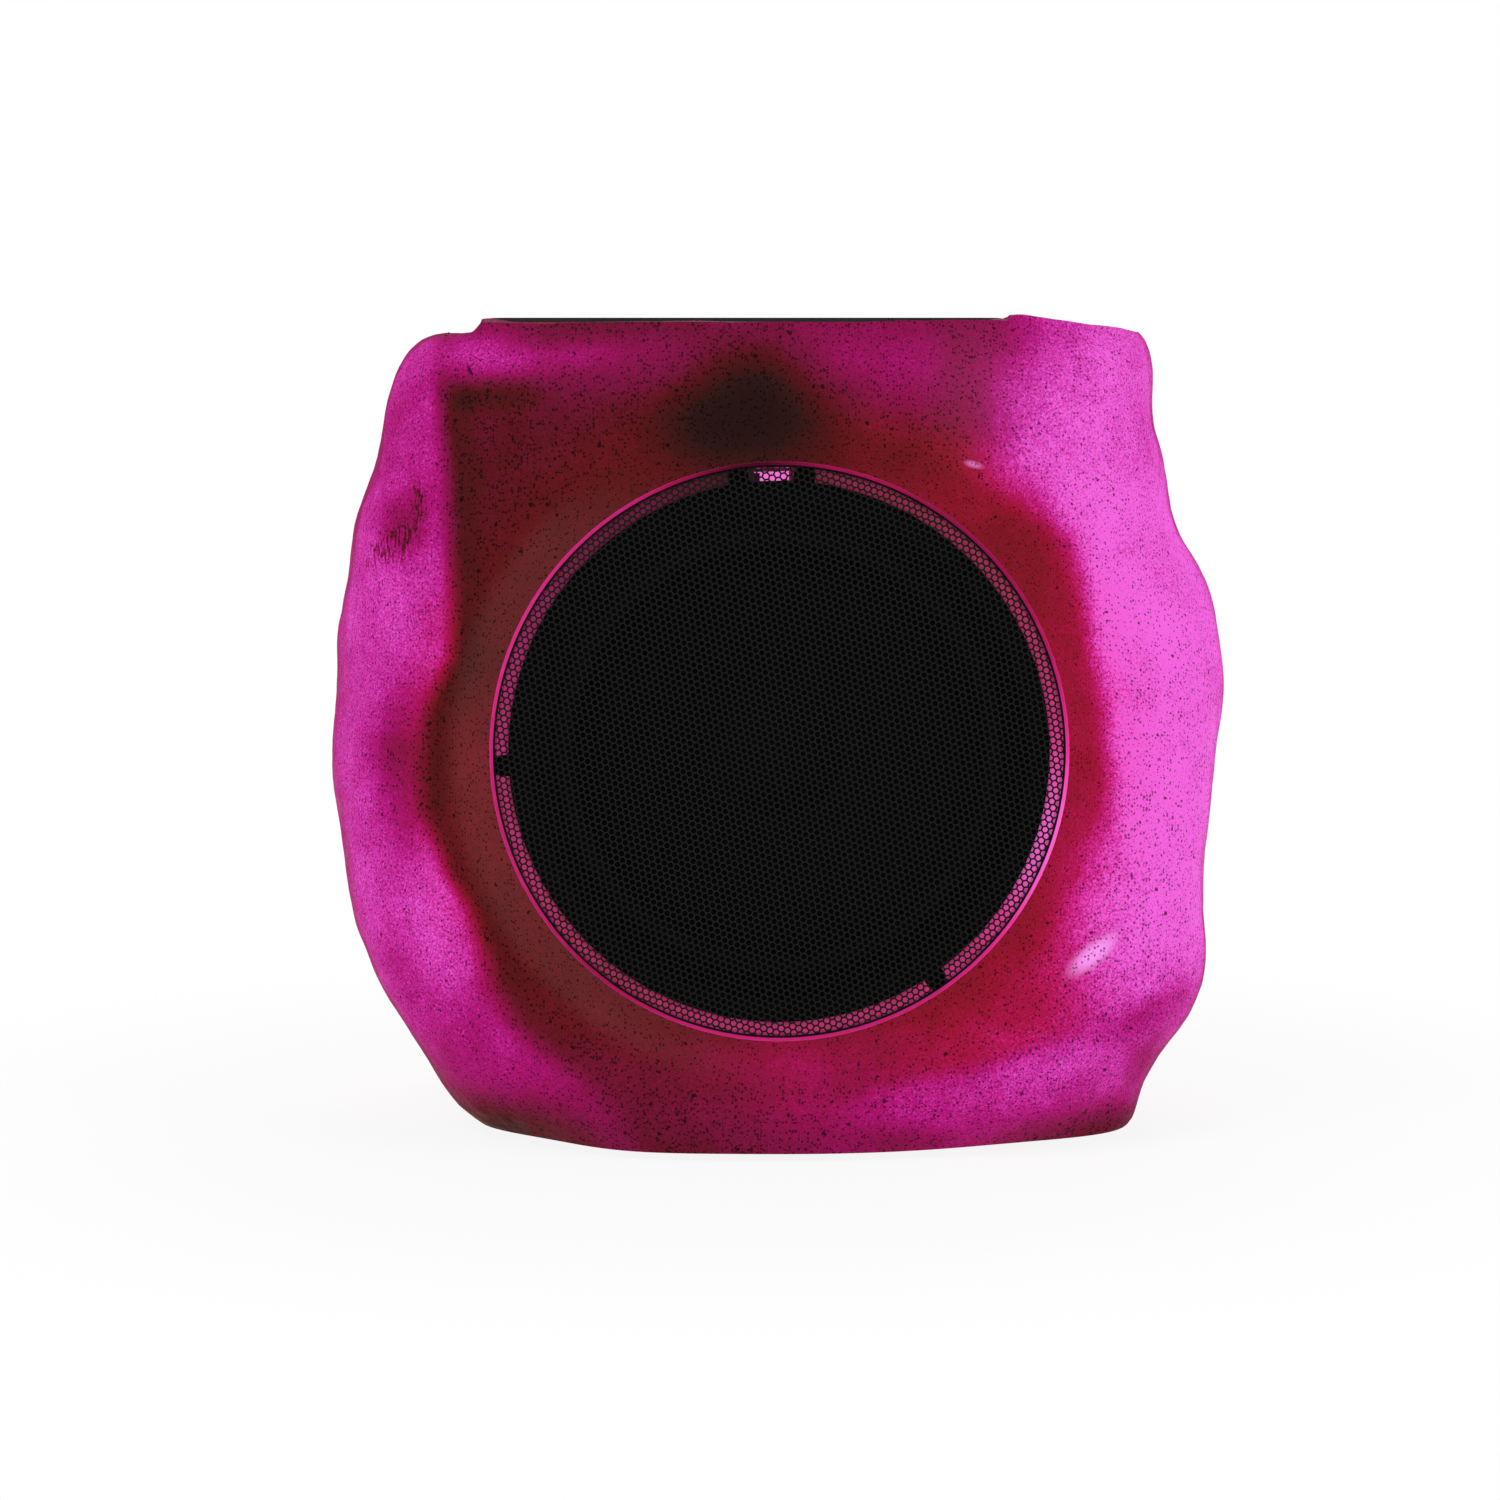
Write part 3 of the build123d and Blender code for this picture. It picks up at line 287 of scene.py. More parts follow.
def grained(name, colour, roughness, size, depth, contrast=0.25, metallic=0.0, specular=0.5):
    """Plain moulded, painted or pressed finish: a grain in millimetres, and a slow change of tone."""
    material, place = new_finish(name, roughness, metallic, specular)
    tone = cloud(place, 14 * size * mm)
    shade = calc("MULTIPLY_ADD", tone, 2 * contrast, 1 - contrast)
    return dress(
        material,
        Base_Color=mix(1.0, colour, shade, "MULTIPLY"),
        Roughness=ramp(tone, 0.3, 0.7, roughness - 0.07, roughness + 0.07),
        Normal=bump(cloud(place, size * mm), depth * mm),
    )


def stripes(value, pitch, share):
    """One where a value lies in the first share of each pitch, else nought."""
    return calc("LESS_THAN", calc("FRACT", calc("DIVIDE", value, pitch)), share)


def within(value, whole):
    """One where a value lies between nought and the whole, else nought."""
    off = calc("ABSOLUTE", calc("SUBTRACT", value, whole / 2))
    return calc("LESS_THAN", off, whole / 2)


def solar_cells():
    """Dark cells with silver fingers and bars under clear resin."""
    material, place = new_finish("solar_cells", 0.3, specular=0.15)
    low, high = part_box("solar_panel")
    columns, rows = 8, 2
    margin, column_gap, row_gap = 3.2 * mm, 1.0 * mm, 1.2 * mm
    finger_pitch, finger_share, bar_width = 1.9 * mm, 0.11, 1.1 * mm
    width = high.x - low.x - 2 * margin
    depth = high.y - low.y - 2 * margin
    cell_width = width / columns
    cell_depth = depth / rows
    split = add_node("SeparateXYZ", Vector=place).outputs
    across = calc("SUBTRACT", split["X"], low.x + margin)
    along = calc("SUBTRACT", split["Y"], low.y + margin)
    column_line = stripes(across, cell_width, column_gap / cell_width)
    row_line = stripes(along, cell_depth, row_gap / cell_depth)
    gap = calc("MAXIMUM", column_line, row_line)
    finger = stripes(along, finger_pitch, finger_share)
    bar_place = calc("ADD", across, cell_width / 4)
    bar = stripes(bar_place, cell_width / 2, bar_width / cell_width * 2)
    cell = mix(cloud(place, 9 * mm, 2.0), (0.006, 0.009, 0.026), (0.014, 0.024, 0.075))
    cell = mix(calc("MAXIMUM", finger, bar), cell, (0.24, 0.25, 0.27))
    seen = product(within(across, width), within(along, depth), calc("SUBTRACT", 1.0, gap))
    return dress(
        material,
        Base_Color=mix(seen, (0.012, 0.012, 0.014), cell),
        Normal=bump(cloud(place, 30 * mm, 1.0), 0.15 * mm),
        Coat_Weight=0.05,
        Coat_Roughness=0.12,
    )


def brushed_steel():
    """Zinc plate with fine scratches all one way."""
    material, place = new_finish("plated_steel", 0.34, metallic=1.0)
    scratch = cloud(first("Mapping", Vector=place, Scale=(1, 14, 14)), 4 * mm, 4.0)
    return dress(
        material,
        Base_Color=mix(scratch, (0.44, 0.44, 0.43), (0.66, 0.66, 0.65)),
        Roughness=ramp(scratch, 0.3, 0.7, 0.26, 0.42),
        Normal=bump(scratch, 0.02 * mm),
    )


def woven_cloth():
    """Resin-stiffened weave of the spider."""
    material, place = new_finish("spider_cloth", 0.75)
    heights = []
    for turn in (0.0, math.pi / 2):
        turned = first("Mapping", Vector=place, Rotation=(math.pi / 2, 0, turn))
        wave = add_node("TexWave", Vector=turned, Scale=1 / (2.6 * mm))
        heights.append(wave.outputs["Fac"])
    weave = calc("MAXIMUM", *heights)
    tint = mix(weave, (0.22, 0.12, 0.035), (0.46, 0.29, 0.1))
    return dress(material, Base_Color=tint, Normal=bump(weave, 0.12 * mm))


def wound_copper():
    """Enamelled wire laid turn by turn."""
    material, place = new_finish("coil_copper", 0.3, metallic=1.0)
    turned = first("Mapping", Vector=place, Rotation=(math.radians(85), 0, 0))
    wave = add_node("TexWave", {"bands_direction": "Z"}, Vector=turned, Scale=1 / (2.0 * mm))
    wire = wave.outputs["Fac"]
    tint = mix(wire, (0.35, 0.12, 0.04), (0.75, 0.32, 0.13))
    return dress(material, Base_Color=tint, Normal=bump(wire, 0.1 * mm))


def circuit_board(name, mask, copper):
    """Solder mask with faint tracks under it."""
    material, place = new_finish(name, 0.35)
    cells = add_node("TexVoronoi", {"distance": "MANHATTAN"}, Vector=place, Scale=1 / (5 * mm))
    track = stripes(cells.outputs["Distance"], 0.22, 0.3)
    return dress(material, Base_Color=mix(track, mask, copper), Normal=bump(track, 0.03 * mm))


def lit_chip():
    """Clear light chips that shine magenta."""
    material, place = new_finish("light_chip", 0.2)
    tint = mix(cloud(place, 2 * mm, 1.0), (0.9, 0.25, 0.75), (1.0, 0.5, 0.9))
    return dress(material, Base_Color=tint, Emission_Color=tint, Emission_Strength=1.0)


def clear_lens():
    """Clear cap of the status light."""
    material, place = new_finish("status_lens", 0.12)
    tint = mix(cloud(place, 1.2 * mm), (0.55, 0.6, 0.66), (0.8, 0.84, 0.88))
    return dress(material, Base_Color=tint, Coat_Weight=0.6)


def front_coordinates(place):
    """The piece's own coordinates turned into the front frame."""
    return first(
        "Mapping", {"vector_type": "TEXTURE"},
        Vector=place, Location=front.translation, Rotation=front.to_euler(),
    )


def axis_reach(face):
    """Distance from the grille's axis."""
    flat = add_node("VectorMath", {"operation": "MULTIPLY"}, tree_of(face))
    return vector_length(plug_all(flat, face, (1, 1, 0)).outputs["Vector"])


def patch(face, middle, half, turn):
    """Soft oval mark in the front frame, in millimetres: one in its middle and nought at its edge."""
    place = first(
        "Mapping", {"vector_type": "TEXTURE"},
        Vector=face,
        Location=Vector((*middle, -40)) * mm,
        Rotation=(0, 0, math.radians(turn)),
        Scale=Vector((*half, 90)) * mm,
    )
    return ramp(vector_length(place), 1.0, 0.0)


def specks(place, size, reach, share, density):
    """Dark moulded-in grains: cells of one size, of which a share holds a ragged grain."""
    ragged = add_node("TexNoise", Vector=place, Scale=1.6 / size, Detail=1.0)
    shifted = add_node("VectorMath", {"operation": "MULTIPLY_ADD"}, tree_of(place))
    plug_all(shifted, ragged.outputs["Color"], (0.7 * size,) * 3, place)
    cells = add_node("TexVoronoi", Vector=shifted.outputs["Vector"], Scale=1 / size).outputs
    odds = add_node("SeparateColor", Color=cells["Color"])
    wide = product(ramp(odds.outputs["Red"], 1 - share, 1.0, 0.0, reach), density)
    return ramp(calc("SUBTRACT", wide, cells["Distance"]), 0.0, 0.04)


def rock_plastic():
    """Translucent speckled plastic: dark where no light comes through, then brown, crimson and magenta."""
    material, place = new_finish("rock_plastic", 0.5, specular=0.012)
    light, warmth, density = [vertex_value(place, name) for name in ("light", "warmth", "grains")]
    face = front_coordinates(place)
    split = add_node("SeparateXYZ", Vector=face).outputs

    # Wall thickness varies, slowly and finely, so the light does too
    for size, detail, roughness, swing in ((24 * mm, 5.0, 0.65, 0.55), (0.7 * mm, 2.0, 0.7, 1.0)):
        change = calc("SUBTRACT", cloud(place, size, detail, roughness), 0.5)
        light = calc("MULTIPLY_ADD", change, product(light, swing), light)

    # Scuffed patch on the left, with ragged runs below it and beside it
    streak = first("Mapping", Vector=face, Rotation=(0, 0, math.radians(14)), Scale=(1, 0.22, 1))
    ragged = ramp(cloud(streak, 1.0 * mm, 2.0, 0.6), 0.5, 0.6)
    scuffs = calc("MAXIMUM", patch(face, *scuff_below), patch(face, *scuff_beside))
    runs = product(ramp(scuffs, 0.1, 0.6), ragged)
    light = calc("MULTIPLY_ADD", runs, -0.32, light)
    light = calc("MULTIPLY_ADD", patch(face, *dull_patch), -0.22, light)

    levels = (0.00, 0.12, 0.25, 0.38, 0.50, 0.65, 0.80, 1.00)
    cool = (
        (0.006, 0.002, 0.002), (0.026, 0.007, 0.006), (0.100, 0.005, 0.009), (0.200, 0.005, 0.050),
        (0.300, 0.004, 0.090), (0.460, 0.007, 0.205), (0.660, 0.040, 0.430), (0.910, 0.130, 0.740),
    )
    warm = (
        (0.006, 0.002, 0.002), (0.026, 0.007, 0.006), (0.100, 0.006, 0.008), (0.190, 0.007, 0.015),
        (0.310, 0.005, 0.028), (0.460, 0.006, 0.085), (0.660, 0.020, 0.300), (0.900, 0.100, 0.640),
    )
    glow = mix(warmth, *[colour_ramp(light, *zip(levels, tints)) for tints in (cool, warm)])

    # Painted sheen on the bezel's left half, and painted greyish light in a patch at the upper right
    shine = ramp(axis_reach(face), 103 * mm, 95 * mm)
    for axis, none, full in (("X", 0.0, -60 * mm), ("Y", 90 * mm, 60 * mm), ("Z", -70 * mm, -40 * mm)):
        shine = product(shine, ramp(split[axis], none, full))
    glow = mix(shine, glow, (0.006, 0.011, 0.010), "ADD")
    glow = mix(patch(face, *painted_grey_light_patch), glow, (0.002, 0.014, 0.004), "ADD")

    # Painted highlights: a pinkish white streak at the lower right and a small spot at the upper right
    glow = mix(ramp(patch(face, *painted_highlight_streak), 0.05, 0.8), glow, (1.0, 0.34, 0.96))
    glow = mix(patch(face, *painted_highlight_spot), glow, (0.95, 0.26, 0.75))

    # Grains in two sizes and one small crack
    fine = specks(place, 0.95 * mm, 0.42, 0.9, density)
    coarse = specks(place, 2.6 * mm, 0.23, 0.45, density)
    grains = calc("MAXIMUM", product(fine, 0.85), coarse)
    grains = calc("MAXIMUM", grains, ramp(patch(face, *crack_mark), 0.1, 0.5))
    shaded = calc("MULTIPLY_ADD", grains, -0.8, 1.0)

    # The plastic's base tone, kept almost black at the front as painted shade, paler at the back
    tone = mix(cloud(place, 12 * mm), (0.0016, 0.0015, 0.0013), (0.0030, 0.0028, 0.0024))
    tone = mix(ramp(split["Z"], -75 * mm, -135 * mm), tone, (0.060, 0.055, 0.050))
    pores = bump(cloud(place, 1.1 * mm, 3.0), 0.12 * mm)
    return dress(
        material,
        Emission_Color=mix(1.0, glow, shaded, "MULTIPLY"),
        Emission_Strength=1.0,
        Base_Color=mix(product(grains, 0.8), tone, (0.002, 0.002, 0.002)),
        Roughness=ramp(cloud(place, 5 * mm), 0.3, 0.7, 0.45, 0.62),
        Normal=bump(cloud(place, 9 * mm, 2.0), 0.5 * mm, pores),
    )


def lit_recess():
    """Inside of the grille's recess, where the light leaks out."""
    material, place = new_finish("lit_recess", 0.5, specular=0.3)
    mottle = calc("SUBTRACT", cloud(place, 3 * mm), 0.5)
    glow = colour_ramp(
        calc("MULTIPLY_ADD", mottle, 0.3, vertex_value(place, "light")),
        (0.00, (0.04, 0.002, 0.008)),
        (0.40, (0.36, 0.006, 0.08)),
        (0.75, (0.80, 0.03, 0.30)),
        (1.00, (0.96, 0.12, 0.60)),
    )

    # The floor shows through the outer holes, with painted shade behind the lugs, and the slot beside the rim
    # shows all round
    face = front_coordinates(place)
    reach = axis_reach(face)
    fade_in = ramp(reach, grille_radius - 4.9 * mm, grille_radius - 2.4 * mm, 0.1, 1.0)
    floor_share = product(vertex_value(place, "warmth"), fade_in)
    for lug_angle in lug_angles:
        middle = around(lug_angle, lug_reach).to_2d()
        lug_shade = ramp(patch(face, middle, lug_half, lug_angle), 0.04, 0.2)
        floor_share = product(floor_share, calc("SUBTRACT", 1.0, lug_shade))
    slot = ramp(reach, grille_radius + 0.2 * mm, grille_radius + 0.6 * mm)
    pink = mix(1.0, glow, (0.0, 0.02, 0.006), "ADD")
    share = calc("MAXIMUM", floor_share, slot)
    return dress(
        material,
        Emission_Color=mix(1.0, mix(slot, pink, glow), share, "MULTIPLY"),
        Emission_Strength=1.0,
        Base_Color=mix(mottle, (0.05, 0.03, 0.03), (0.08, 0.05, 0.05)),
    )


def lit_inside():
    """Inner face of the shell, lit by the chips."""
    material, place = new_finish("lit_inside", 0.6, specular=0.2)
    return dress(
        material,
        Base_Color=mix(cloud(place, 5 * mm), (0.05, 0.03, 0.03), (0.08, 0.05, 0.05)),
        Emission_Color=mix(cloud(place, 8 * mm), (0.75, 0.07, 0.45), (1.0, 0.22, 0.75)),
        Emission_Strength=1.0,
    )


# Mesh helpers


def place_object(name, data):
    """New object in the scene, at the origin."""
    made = bpy.data.objects.new(name, data)
    bpy.context.scene.collection.objects.link(made)
    return made


def new_piece(name, mesh, body="housing", stands_for=()):
    """Finished piece at the origin that rides on a body."""
    piece = place_object(name, mesh)
    if body:
        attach(piece, body)
    if stands_for:
        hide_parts(*stands_for)
    return piece


def merged_copy(node):
    """A CAD node's mesh as one skin of joined triangles."""
    bm = bmesh.new()
    bm.from_mesh(nodes[node].data)
    bmesh.ops.remove_doubles(bm, verts=bm.verts, dist=0.001 * mm)
    bmesh.ops.dissolve_degenerate(bm, edges=bm.edges, dist=0.0005 * mm)
    return bm


def finished_mesh(name, bm, *materials):
    mesh = bpy.data.meshes.new(name)
    bm.to_mesh(mesh)
    bm.free()
    for material in materials:
        mesh.materials.append(material)
    return mesh


def shade_smooth(bm, sharp):
    """Smooth faces, with the edges past an angle kept sharp."""
    for face in bm.faces:
        face.smooth = True
    for edge in bm.edges:
        edge.smooth = len(edge.link_faces) != 2 or edge.calc_face_angle() < sharp


def around(angle, reach, height=0.0):
    """Point at an angle in degrees and a distance from an upright axis."""
    turn = math.radians(angle)
    return Vector((reach * math.cos(turn), reach * math.sin(turn), height))


def in_front(points):
    """Points in the front frame, as an array."""
    return (np.asarray(points) - np.array(front.translation)) @ np.array(front.to_3x3())


def step_up(value, low, high):
    part = np.clip((value - low) / (high - low), 0, 1)
    return part * part * (3 - 2 * part)


def oval(across, along, middle, half, turn=0.0):
    """Soft oval, one in its middle and nought from its edge on."""
    cosine, sine = math.cos(math.radians(turn)), math.sin(math.radians(turn))
    x, y = across - middle[0], along - middle[1]
    reach = np.hypot((x * cosine + y * sine) / half[0], (y * cosine - x * sine) / half[1])
    return 1 - step_up(reach, 0.0, 1.0)


# Finish of each slot


finishes = {
    "rock": rock_plastic(),
    "grille_steel": grained("grille_paint", (0.0030, 0.0032, 0.0032), 0.6, 0.35, 0.02, specular=0.14),
    "frame_steel": grained("frame_paint", (0.005, 0.005, 0.005), 0.55, 0.5, 0.02, specular=0.1),
    "plated_steel": brushed_steel(),
    "magnet": grained("ferrite", (0.05, 0.05, 0.055), 0.7, 0.8, 0.05),
    "rubber": grained("rubber", (0.008, 0.008, 0.008), 0.75, 0.5, 0.03, specular=0.12),
    "foam": grained("foam", (0.03, 0.03, 0.03), 0.9, 0.6, 0.15),
    "paper": grained("pressed_paper", (0.009, 0.009, 0.009), 0.85, 0.7, 0.06, contrast=0.4, specular=0.12),
    "cloth": woven_cloth(),
    "coil": wound_copper(),
    "black_plastic": grained("black_plastic", (0.016, 0.016, 0.017), 0.5, 0.4, 0.05, specular=0.4),
    "solar_cell": solar_cells(),
    "battery_wrap": grained("battery_wrap", (0.03, 0.09, 0.3), 0.25, 3, 0.1),
    "board": circuit_board("green_board", (0.012, 0.10, 0.04), (0.03, 0.2, 0.07)),
    "white_board": circuit_board("white_board", (0.74, 0.74, 0.72), (0.8, 0.8, 0.79)),
    "light_chip": lit_chip(),
    "clear_plastic": clear_lens(),
    "aluminium": grained("sheet_aluminium", (0.62, 0.62, 0.63), 0.38, 0.6, 0.02, contrast=0.08, metallic=1.0),
    "socket_plastic": grained("socket_plastic", (0.6, 0.58, 0.52), 0.4, 0.5, 0.02, contrast=0.1),
    "button_rubber": grained("button_rubber", (0.035, 0.035, 0.037), 0.62, 0.4, 0.04),
    "lead": grained("lead_jacket", (0.02, 0.02, 0.02), 0.5, 0.8, 0.02),
}
recess_finish = lit_recess()
inside_finish = lit_inside()
skirt_finish = grained("skirt_enamel", (0.003, 0.003, 0.003), 0.12, 0.6, 0.004)
print_finish = grained("printed_mark", (0.62, 0.62, 0.6), 0.55, 0.3, 0.005, contrast=0.08)

for name, part in nodes.items():
    part.data.materials.clear()
    part.data.materials.append(finishes[node_slot[name]])


# Rock skin


def border_at(border, value):
    """A border's place at a value, from its row of points."""
    return np.interp(value, *zip(*border))


def below_line(across, along):
    """Share of the lit band under the crimson lower right."""
    return step_up(border_at(bottom_border, across) - along, -4, 4) * step_up(across, 10, 45)


def light_through(places):
    """How much light comes through the wall, from places in the front frame in millimetres."""
    across, along, out = places.T
    reach = np.hypot(across, along)

    def spot(middle, half, turn=0.0):
        return oval(across, along, middle, half, turn)

    # Between the borders the driver and its frame shade the wall
    left_edge = across - border_at(left_border, along)
    right_edge = across - border_at(right_border, along)
    light = 0.27 + 0.27 * step_up(across, -20, 95)
    light = light + 0.18 * step_up(-along, 60, 112) * (0.4 + 0.6 * step_up(across, -45, 12))
    light = light + 0.07 * step_up(-across, 55, 92) * (1 - step_up(np.abs(along + 24), 16, 52))
    for lift, middle, half in (
        (0.11, (0, -92), (42, 11)),
        (0.09, (92, -36), (16, 34)),
        (-0.06, (70, 60), (22, 30)),
        (-0.05, (38, 92), (18, 14)),
    ):
        light = light + lift * spot(middle, half)
    bezel = (1 - step_up(reach, 97, 103)) * step_up(along, -110, -60)
    light = light - 0.04 * bezel * step_up(across, -70, 0)
    band = step_up(left_edge, 0, 4) * (1 - step_up(left_edge, 5, 15))
    light = light - 0.06 * band * step_up(along, -100, -50)

    # Lit lobes beyond the borders, which are soft in places
    top = 0.43 + 0.12 * spot((30, 112), (40, 24)) + 0.12 * spot((-64, 119), (40, 9), 9)
    top = top + 0.26 * spot((-94, 121), (30, 13))
    bottom = 0.68 + 0.09 * spot((84, -96), (38, 12), 14)
    left = 0.72 + 0.08 * spot((-104, -46), (26, 34)) - 0.08 * spot((-110, 82), (24, 40))
    left = left + 0.07 * spot((-124, 42), (24, 34)) + 0.06 * spot((-124, -42), (22, 30))
    left = left - 0.17 * step_up(-along, 58, 108)
    right = 1.01 - 0.12 * step_up(along, 50, 110) - 0.27 * step_up(-along, 42, 92)
    left_soft = 1 + 0.9 * step_up(-along, 45, 75)
    right_soft = 1 + 2.0 * step_up(along, 60, 90) + 1.5 * step_up(-along, 16, 48)
    for share, level in (
        (step_up(along, 98, 120), top),
        (below_line(across, along), bottom),
        (step_up(-left_edge / left_soft, -3.4, 4.8), left),
        (step_up(right_edge / right_soft, -7, 7.5), right),
    ):
        light = light + share * (level - light)

    # Painted shadows of what stands inside, and painted shade along the lower edge
    for depth, middle, half, turn in (
        (0.66, (-9, 102), (42, 35), 0),
        (0.40, (-6, 107), (24, 24), 0),
        (0.24, (-24, 98), (20, 16), 0),
        (0.42, (-84, 107.5), (22, 8), 0),
        (0.40, (-95.5, 107), (8, 8), 0),
        (0.20, (-118.5, -1), (9, 10), 0),
        (0.34, (-112, -3), (17, 40), 0),
        (0.10, (57, 104), (16, 24), 0),
        (0.25, (-55, 130), (50, 12), 0),
        (0.24, (112, -80), (22, 8), 25),
        (0.42, (98, -117), (42, 15), 12),
        (0.22, (114, -96), (14, 16), 0),
        (0.42, (-84, -115), (30, 16), 0),
        (0.25, (38, -118), (22, 9), 0),
    ):
        light = light * (1 - depth * spot(middle, half, turn))
    edge_loss = (0.2 + 0.18 * step_up(across, 40, 70)) * step_up(-along, 105, 124)
    light = light * (1 - edge_loss - 0.3 * step_up(-along, 94, 120) * step_up(-across, 36, 62))

    # The back glows evenly but for the rear panel's board
    back = 0.66 + 0.14 * step_up(np.abs(across), 50, 120) - 0.14 * step_up(along, 60, 120)
    back = back - 0.2 * spot((0, 10), (75, 60)) - 0.12 * step_up(-along, 85, 120)
    return light + (back - light) * step_up(-out, 50, 125)


def warm_share(places):
    """Where the light is more crimson than magenta: round the driver, away from the lit lobes."""
    across, along, out = places.T
    reach = np.hypot(across, along)
    ahead = 1 - 0.8 * step_up(-out, 50, 125)
    lower_right = step_up(across, 20, 60)
    far = 12 * lower_right * step_up(-along, 50, 80)
    share = 1 - step_up(reach - far, 100, 122)
    share = share * (1 - 0.55 * step_up(-along, 70, 105) * (1 - lower_right))
    share = share * (1 - 0.7 * step_up(along, 92, 112))
    return ahead * share * (1 - 0.85 * below_line(across, along))


def mark_skin(bm):
    """Layer that tells which faces are outer skin; the recess and the inner face get their own finishes."""
    tree = BVHTree.FromBMesh(bm)
    middle = Vector((0, 0, (cad_low.z + cad_high.z) / 2))
    panel_low, panel_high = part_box("panel_gasket")
    tray_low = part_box("solar_gasket")[0]
    margin, bezel_depth, lift, sight = 1 * mm, 70 * mm, 0.3 * mm, 60 * mm
    skin = bm.faces.layers.int.new("skin")
    for face in bm.faces:
        centre = face.calc_center_median()
        corners = in_front([vert.co for vert in face.verts])
        widest = np.hypot(corners[:, 0], corners[:, 1]).max()
        deepest = corners[:, 2].min()
        if widest < recess_reach and deepest > -grille_depth - margin:
            face.material_index = 1
            continue
        outward = face.normal.dot((centre - middle).normalized())
        in_panel = centre.y > panel_low.y - margin and abs(centre.x) < panel_high.x + 2 * margin
        in_pocket = centre.z > tray_low.z - margin
        if outward < -0.15 and not in_panel and not in_pocket:
            face.material_index = 2
        ahead = face.normal.dot(grille_out) > 0.25 and widest > recess_reach and deepest > -bezel_depth
        clear = tree.ray_cast(centre + face.normal * lift, face.normal, sight)[0] is None
        if ahead or (outward > 0.1 and clear):
            face[skin] = 1
    return skin


def divide_skin(bm, skin):
    """Splits the skin's long edges, most finely where the rock rises to the tray's left end."""
    tray_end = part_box("solar_tray")[0].x

    def widest_edge(edge):
        middle = (edge.verts[0].co + edge.verts[1].co) / 2
        beside = abs(middle.x - tray_end + shoulder_reach / 2)
        return shoulder_edge if beside < shoulder_reach and middle.z > shoulder_low else skin_edge

    for _ in range(6):
        long_edges = [
            edge for edge in bm.edges
            if any(face[skin] for face in edge.link_faces) and edge.calc_length() > widest_edge(edge)
        ]
        if not long_edges:
            break
        bmesh.ops.subdivide_edges(bm, edges=long_edges, cuts=1)
        bmesh.ops.triangulate(bm, faces=bm.faces, quad_method="SHORT_EDGE")
    bm.normal_update()


def lump_skin(bm, skin):
    """Lumps, knobs and pits where nothing is fitted; returns the layer of how far the skin swells."""
    panel_low, panel_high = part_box("panel_gasket")
    tray_low, tray_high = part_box("solar_gasket")
    points = np.array([vert.co for vert in bm.verts])
    x, y, z = points.T
    across, along, out = in_front(points).T
    beside_panel = np.maximum.reduce([
        panel_low.x - x, x - panel_high.x, panel_low.z - z, z - panel_high.z, panel_low.y - y - 20 * mm,
    ])
    beside_tray = np.maximum.reduce([
        tray_low.x - x, x - tray_high.x, tray_low.y - y, y - tray_high.y, tray_low.z - z - 6 * mm,
    ])
    free = step_up(beside_panel, 0.5 * mm, 9 * mm) * step_up(beside_tray, 0.5 * mm, 8 * mm)
    past_bezel = step_up(np.hypot(across, along), bezel_reach - 4 * mm, bezel_reach + 8 * mm)
    free *= np.maximum(past_bezel, out < -60 * mm)
    free *= step_up(z, cad_low.z + 3 * mm, cad_low.z + 10 * mm)
    whole_skin = [all(face[skin] for face in vert.link_faces) for vert in bm.verts]
    swell = bm.verts.layers.float.new("swell")
    sizes = ((lump_size, lump_height), (knob_size, knob_height), (pit_size, pit_height))
    moves = []
    for vert, share, on_skin in zip(bm.verts, free, whole_skin):
        if not on_skin or share <= 0:
            continue
        lump, knob, pit = [noise.fractal(vert.co / size, 1.0, 2.0, 2) * height for size, height in sizes]
        vert[swell] = (lump + knob) * share / mm
        moves.append((vert, vert.normal * (lump + knob + pit) * share))
    for vert, move in moves:
        vert.co += move
    return swell


def raise_shoulders(bm):
    """The rock rises to the tray's ends in soft sweeps."""
    low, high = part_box("solar_tray")
    crest = high.z - crest_drop
    clear = 0.05 * mm
    for vert in bm.verts:
        x, y, z = vert.co
        beyond = max(low.y - y, y - high.y)
        near_crest = z > crest - crest_band
        if x < low.x - clear:
            share = step_up(x, low.x - shoulder_run, low.x - 0.3 * mm)
            share *= step_up(z, shoulder_low, shoulder_foot - 1 * mm)
        elif x > high.x + clear:
            share = near_crest * (1 - step_up(x, high.x + 5 * mm, high.x + 12 * mm))
        else:
            share = 1 - step_up(min(x - low.x, high.x - x), 0.0, 9 * mm)
            share *= near_crest and beyond > clear
        vert.co.z += max(0.0, crest - z) * share * (1 - step_up(beyond, 3 * mm, 11 * mm))


